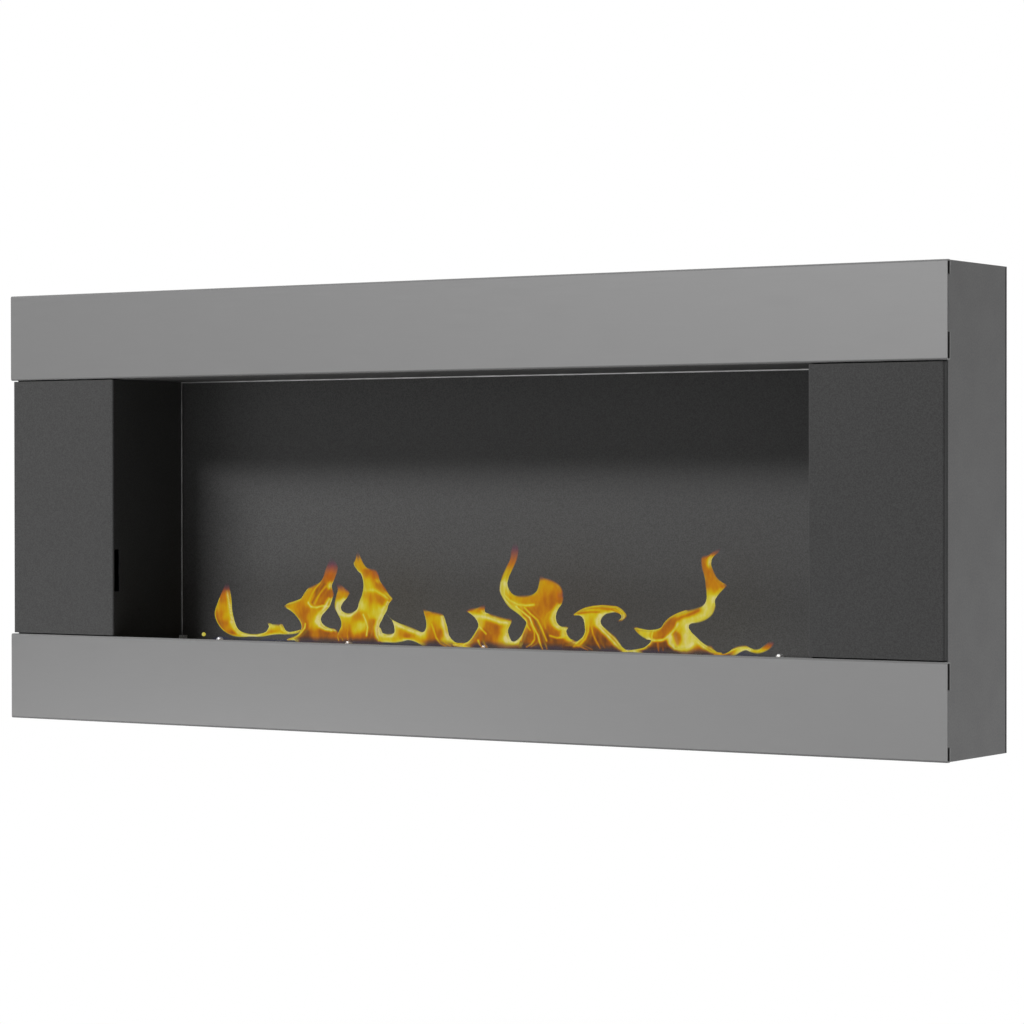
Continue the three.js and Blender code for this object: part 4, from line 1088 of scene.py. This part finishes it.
class FireplaceFlames(bpy.types.PropertyGroup):
    thickness: length("Thickness", "Greatest thickness of a flame", 9.0)
    grain: bpy.props.FloatProperty(
        name="Grain", description="Spacing of a flame's points in millimetres", min=0.3, default=0.9
    )


class FireplaceStage(bpy.types.PropertyGroup):
    floor: colour("Floor", "Colour of the studio floor", "#ECECEC")
    floor_level: length("Floor level", "Height of the floor below the unit's middle", -900)
    floor_radius: length("Floor radius", "Radius of the floor", 2600)


# ---- operators ----


class FIREPLACE_OT_casing(bpy.types.Operator):
    """Finish the outer casing and what it hangs by"""

    bl_idname = "fireplace.casing"
    bl_label = "Finish casing"
    bl_options = {"REGISTER", "UNDO"}

    def execute(self, context):
        finish = context.scene.fireplace_finish
        grey = finished(satin_powder_coat, finish)
        paint(grey, "rear_panel", "top_panel", "bottom_panel")
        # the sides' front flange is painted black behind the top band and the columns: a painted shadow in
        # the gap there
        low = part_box("bottom_band")[1].z
        for node in ("left_side_panel", "right_side_panel"):
            sheet_of_two_finishes(
                node, grey, finished(sand_black_coat, finish),
                lambda face: face.normal.y < -0.3 and face.calc_center_median().z > low, cut=low,
            )
        brackets = ("left_hanger_plate", "right_hanger_plate", "left_shelf_prop", "right_shelf_prop")
        paint(finished(zinc_plate, finish), *brackets)
        return {"FINISHED"}


class FIREPLACE_OT_bands(bpy.types.Operator):
    """Finish the two fascia bands"""

    bl_idname = "fireplace.bands"
    bl_label = "Finish bands"
    bl_options = {"REGISTER", "UNDO"}

    def execute(self, context):
        finish = context.scene.fireplace_finish
        for node in ("top_band", "bottom_band"):
            # faces that slope to the front get a matt, lighter fold finish: a painted sheen in place of the
            # glint
            sheet_of_two_finishes(
                node, finished(satin_steel, finish), finished(fold_with_painted_sheen, finish),
                lambda face: face.normal.y < -0.1 and abs(face.normal.z) > 0.1,  # slopes to the front
            )
        return {"FINISHED"}


class FIREPLACE_OT_firebox(bpy.types.Operator):
    """Finish the columns and the lining of the firebox"""

    bl_idname = "fireplace.firebox"
    bl_label = "Finish firebox"
    bl_options = {"REGISTER", "UNDO"}

    def execute(self, context):
        finish = context.scene.fireplace_finish
        # the lining's black is painted lighter than the columns': painted light on the firebox back and
        # ceiling
        lining = finished(sand_black_painted_lighter, finish)
        paint(finished(sand_black_coat, finish), "left_column_panel", "right_column_panel")
        paint(lining, "firebox_ceiling", "firebox_shelf")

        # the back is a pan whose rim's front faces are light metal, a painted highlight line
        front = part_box("firebox_back")[0].y + 0.01 * MM
        sheet_of_two_finishes(
            "firebox_back", lining, finished(rim_painted_highlight, finish),
            lambda face: all(vert.co.y < front for vert in face.verts),
        )
        return {"FINISHED"}


class FIREPLACE_OT_screws(bpy.types.Operator):
    """Finish the screws that hold bands and columns"""

    bl_idname = "fireplace.screws"
    bl_label = "Finish screws"
    bl_options = {"REGISTER", "UNDO"}

    def execute(self, context):
        finish = context.scene.fireplace_finish
        screws = [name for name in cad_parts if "_screw_" in name]
        paint(finished(zinc_plate, finish), *screws)
        return {"FINISHED"}


class FIREPLACE_OT_burner(bpy.types.Operator):
    """Finish the tank, the deck and the shutter"""

    bl_idname = "fireplace.burner"
    bl_label = "Finish burner"
    bl_options = {"REGISTER", "UNDO"}

    def execute(self, context):
        finish = context.scene.fireplace_finish
        steel = finished(brushed_steel, finish)
        paint(steel, "burner_tank", "burner_deck", "flame_shutter", "shutter_knob_left", "shutter_knob_right")
        paint(steel, *[f"guide_stud_{i}" for i in GUIDES])
        return {"FINISHED"}


class FIREPLACE_OT_guides(bpy.types.Operator):
    """Fit the domed nuts and washers that guide the shutter"""

    bl_idname = "fireplace.guides"
    bl_label = "Fit guides"
    bl_options = {"REGISTER", "UNDO"}

    def execute(self, context):
        finish = context.scene.fireplace_finish
        sizes = context.scene.fireplace_hardware
        chrome = finished(nickel_chrome, finish)
        seats = [middle(f"dome_nut_{i}") for i in GUIDES]
        height = nut_high.z - nut_low.z
        nuts = grow(
            "dome_nuts", dome_nut_tree(),
            {
                "Across flats": sizes.across, "Hexagon height": sizes.hexagon,
                "Dome height": height - sizes.hexagon, "Material": chrome,
            },
            [(p.x, p.y, nut_low.z) for p in seats],
        )
        smooth(nuts.data)
        ride_burner(nuts, *[f"dome_nut_{i}" for i in GUIDES], slot="bright_chrome")

        outer = (washer_high.x - washer_low.x) / 2
        washers = grow(
            "guide_washers", washer_tree(),
            {
                "Bore radius": sizes.washer_bore, "Width": outer - sizes.washer_bore,
                "Thickness": washer_high.z - washer_low.z, "Edge": sizes.washer_edge, "Material": chrome,
            },
            [(p.x, p.y, (washer_low.z + washer_high.z) / 2) for p in seats],
        )
        smooth(washers.data)
        ride_burner(washers, *[f"guide_washer_{i}" for i in GUIDES], slot="bright_chrome")
        return {"FINISHED"}


class FIREPLACE_OT_gauze(bpy.types.Operator):
    """Lay the wire gauze over the fibre"""

    bl_idname = "fireplace.gauze"
    bl_label = "Lay gauze"
    bl_options = {"REGISTER", "UNDO"}

    def execute(self, context):
        finish = context.scene.fireplace_finish
        sizes = context.scene.fireplace_hardware
        span = gauze_high - gauze_low
        radius = sizes.wire_radius
        gauze = grow(
            "wire_gauze", gauze_tree(),
            {
                "Length": span.x - 2 * radius, "Width": span.y - 2 * radius,
                "Cross wires": round(span.x / sizes.mesh_pitch),
                "Long wires": round(span.y / sizes.mesh_pitch),
                "Wire radius": radius, "Material": finished(heat_stained_steel, finish),
            },
            [tuple(middle("fibre_gauze"))],
        )
        smooth(gauze.data)
        ride_burner(gauze, "fibre_gauze", slot="stainless_steel")
        return {"FINISHED"}


PAD_CORNER = 4 * MM  # radius of the blanket's corners
PAD_INSET = 0.1 * MM  # how far it stays inside its CAD solid
TUFT_WIDTH = 9 * MM
TUFT_DEPTH = 0.7 * MM


class FIREPLACE_OT_fibre(bpy.types.Operator):
    """Pack the ceramic fibre blanket into the tank"""

    bl_idname = "fireplace.fibre"
    bl_label = "Pack fibre"
    bl_options = {"REGISTER", "UNDO"}

    def execute(self, context):
        finish = context.scene.fireplace_finish
        pitch = context.scene.fireplace_hardware.fibre_pitch
        bm = bmesh.new()
        bmesh.ops.create_cube(bm, size=1)
        span = pad_high - pad_low
        bmesh.ops.scale(bm, vec=span, verts=bm.verts)
        bmesh.ops.translate(bm, vec=middle("ceramic_fibre_pad"), verts=bm.verts)
        for axis in range(3):
            normal = Vector([float(i == axis) for i in range(3)])
            slices = round(span[axis] / pitch)
            for k in range(1, slices):
                place = pad_low + normal * k * span[axis] / slices
                everything = bm.verts[:] + bm.edges[:] + bm.faces[:]
                bmesh.ops.bisect_plane(bm, geom=everything, plane_co=place, plane_no=normal)
        corner = Vector((PAD_CORNER,) * 3)
        low, high = pad_low + corner, pad_high - corner
        for vert in bm.verts:
            core = Vector([min(max(vert.co[i], low[i]), high[i]) for i in range(3)])
            out = (vert.co - core).normalized()
            tuft = noise.fractal(vert.co / TUFT_WIDTH, 0.8, 2.0, 3)
            vert.co = core + out * (PAD_CORNER - TUFT_DEPTH * (0.5 + 0.5 * tuft) - PAD_INSET)
        bmesh.ops.recalc_face_normals(bm, faces=bm.faces)
        mesh = mesh_of("ceramic_fibre_blanket", bm)
        blanket = new_piece("ceramic_fibre_blanket", mesh, finished(ceramic_blanket, finish))
        ride_burner(blanket, "ceramic_fibre_pad", slot="ceramic_fibre")
        return {"FINISHED"}


class FIREPLACE_OT_flames(bpy.types.Operator):
    """Light the flames over the slot"""

    bl_idname = "fireplace.flames"
    bl_label = "Light flames"
    bl_options = {"REGISTER", "UNDO"}

    def execute(self, context):
        finish = context.scene.fireplace_finish
        fire = finished(burning_vapour, finish)
        settings = context.scene.fireplace_flames
        pieces = [new_piece(name, flame_mesh(name, shape, settings), fire) for name, shape in FLAMES.items()]
        pieces.append(new_piece("flame_spark", spark_mesh(), fire))
        pieces.append(new_piece("flame_root", root_mesh(), clear_root(finish)))
        for piece in pieces:
            piece.visible_shadow = False  # burning gas lets light through
            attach(piece, "burner")
            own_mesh(piece)
        return {"FINISHED"}


# The photographed view: from the right, level with the unit
CAMERA_PLACE = (1.863, -2.873, 0.027)
CAMERA_TURN = (32.94, -0.52, -0.06)  # yaw, pitch and roll in degrees
CAMERA_LENS = 118.8  # long focus, in millimetres
CAMERA_SENSOR = 36

AMBIENT = 0.02  # the world's own light; seen directly or mirrored it is white
# Each lamp: where it stands, what it faces, its size in metres and its power in watts
LAMPS = {
    "key_strip": ((-1.9, -3.2, 2.9), (0, 0, 0), (2.2, 0.5), 250),
    "front_fill": ((-0.3, -4.5, 0.2), (0, 0, 0), (2.5, 2.5), 11),
    "low_left": ((-1.2, -1.2, -0.8), (-0.5, 0, -0.2), (0.8, 0.3), 7.5),
    "low_right": ((1.8, 0.1, -0.7), (0.55, -0.06, -0.2), (0.6, 0.3), 10),
    "back_fill": ((0, 3.6, 1.5), (0, 0, 0), (1.6, 1.6), 90),
}


class FIREPLACE_OT_stage(bpy.types.Operator):
    """Set up the floor, the lamps and the camera"""

    bl_idname = "fireplace.stage"
    bl_label = "Set stage"
    bl_options = {"REGISTER", "UNDO"}

    def execute(self, context):
        scene = context.scene
        stage = context.scene.fireplace_stage
        bm = bmesh.new()
        bmesh.ops.create_circle(bm, cap_ends=True, segments=96, radius=stage.floor_radius)
        floor = new_piece("floor", mesh_of("floor", bm, rounded=False), pale_floor(stage))
        floor.location.z = stage.floor_level

        world = scene.world or bpy.data.worlds.new("studio")
        scene.world = world
        world.use_nodes = True
        tree = world.node_tree
        tree.nodes.clear()
        path = add(tree, "ShaderNodeLightPath")
        seen = path.outputs["Is Camera Ray"]
        for name in ("Is Glossy Ray", "Is Transmission Ray"):
            links = {0: seen, 1: path.outputs[name]}
            seen = add(tree, "ShaderNodeMath", {"operation": "MAXIMUM"}, links).outputs[0]
        dim = add(tree, "ShaderNodeBackground", {"Color": WHITE, "Strength": AMBIENT})
        white = add(tree, "ShaderNodeBackground", {"Color": WHITE, "Strength": 1.0})
        mix = add(tree, "ShaderNodeMixShader", links={0: seen, 1: dim.outputs[0], 2: white.outputs[0]})
        add(tree, "ShaderNodeOutputWorld", links={"Surface": mix.outputs[0]})

        for name, (place, aim, size, power) in LAMPS.items():
            light = bpy.data.lights.new(name, "AREA")
            light.shape = "RECTANGLE"
            light.size, light.size_y = size
            light.energy = power
            lamp = bpy.data.objects.new(name, light)
            scene.collection.objects.link(lamp)
            lamp.location = place
            lamp.rotation_euler = (Vector(aim) - Vector(place)).to_track_quat("-Z", "Y").to_euler()

        view = bpy.data.cameras.new("camera")
        view.lens = CAMERA_LENS
        view.sensor_width = CAMERA_SENSOR
        camera = bpy.data.objects.new("camera", view)
        scene.collection.objects.link(camera)
        yaw, pitch, roll = (math.radians(a) for a in CAMERA_TURN)
        turn = Matrix.Rotation(yaw, 4, "Z") @ Matrix.Rotation(math.pi / 2 + pitch, 4, "X")
        camera.matrix_world = Matrix.Translation(CAMERA_PLACE) @ turn @ Matrix.Rotation(roll, 4, "Z")
        scene.camera = camera
        scene.view_settings.view_transform = "Standard"
        return {"FINISHED"}


class FIREPLACE_PT_sidebar(bpy.types.Panel):
    """Lists the fireplace's operators and settings"""

    bl_label = "Bioethanol fireplace"
    bl_idname = "FIREPLACE_PT_sidebar"
    bl_space_type = "VIEW_3D"
    bl_region_type = "UI"
    bl_category = "Fireplace"

    def draw(self, context):
        for operator in OPERATORS:
            self.layout.operator(operator.bl_idname)
        for group in SETTINGS:
            box = self.layout.box()
            for name in SETTINGS[group].__annotations__:
                box.prop(getattr(context.scene, group), name)


SETTINGS = {
    "fireplace_finish": FireplaceFinish,
    "fireplace_hardware": FireplaceHardware,
    "fireplace_flames": FireplaceFlames,
    "fireplace_stage": FireplaceStage,
}
OPERATORS = (
    FIREPLACE_OT_casing,
    FIREPLACE_OT_bands,
    FIREPLACE_OT_firebox,
    FIREPLACE_OT_screws,
    FIREPLACE_OT_burner,
    FIREPLACE_OT_guides,
    FIREPLACE_OT_gauze,
    FIREPLACE_OT_fibre,
    FIREPLACE_OT_flames,
    FIREPLACE_OT_stage,
)


def register():
    for cls in (*SETTINGS.values(), *OPERATORS, FIREPLACE_PT_sidebar):
        bpy.utils.register_class(cls)
    for group, cls in SETTINGS.items():
        setattr(bpy.types.Scene, group, bpy.props.PointerProperty(type=cls))


def unregister():
    for group in SETTINGS:
        delattr(bpy.types.Scene, group)
    for cls in reversed((*SETTINGS.values(), *OPERATORS, FIREPLACE_PT_sidebar)):
        bpy.utils.unregister_class(cls)


def main():
    register()
    for step in OPERATORS:
        group, name = step.bl_idname.split(".")
        getattr(getattr(bpy.ops, group), name)()
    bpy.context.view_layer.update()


if __name__ == "__main__":
    main()
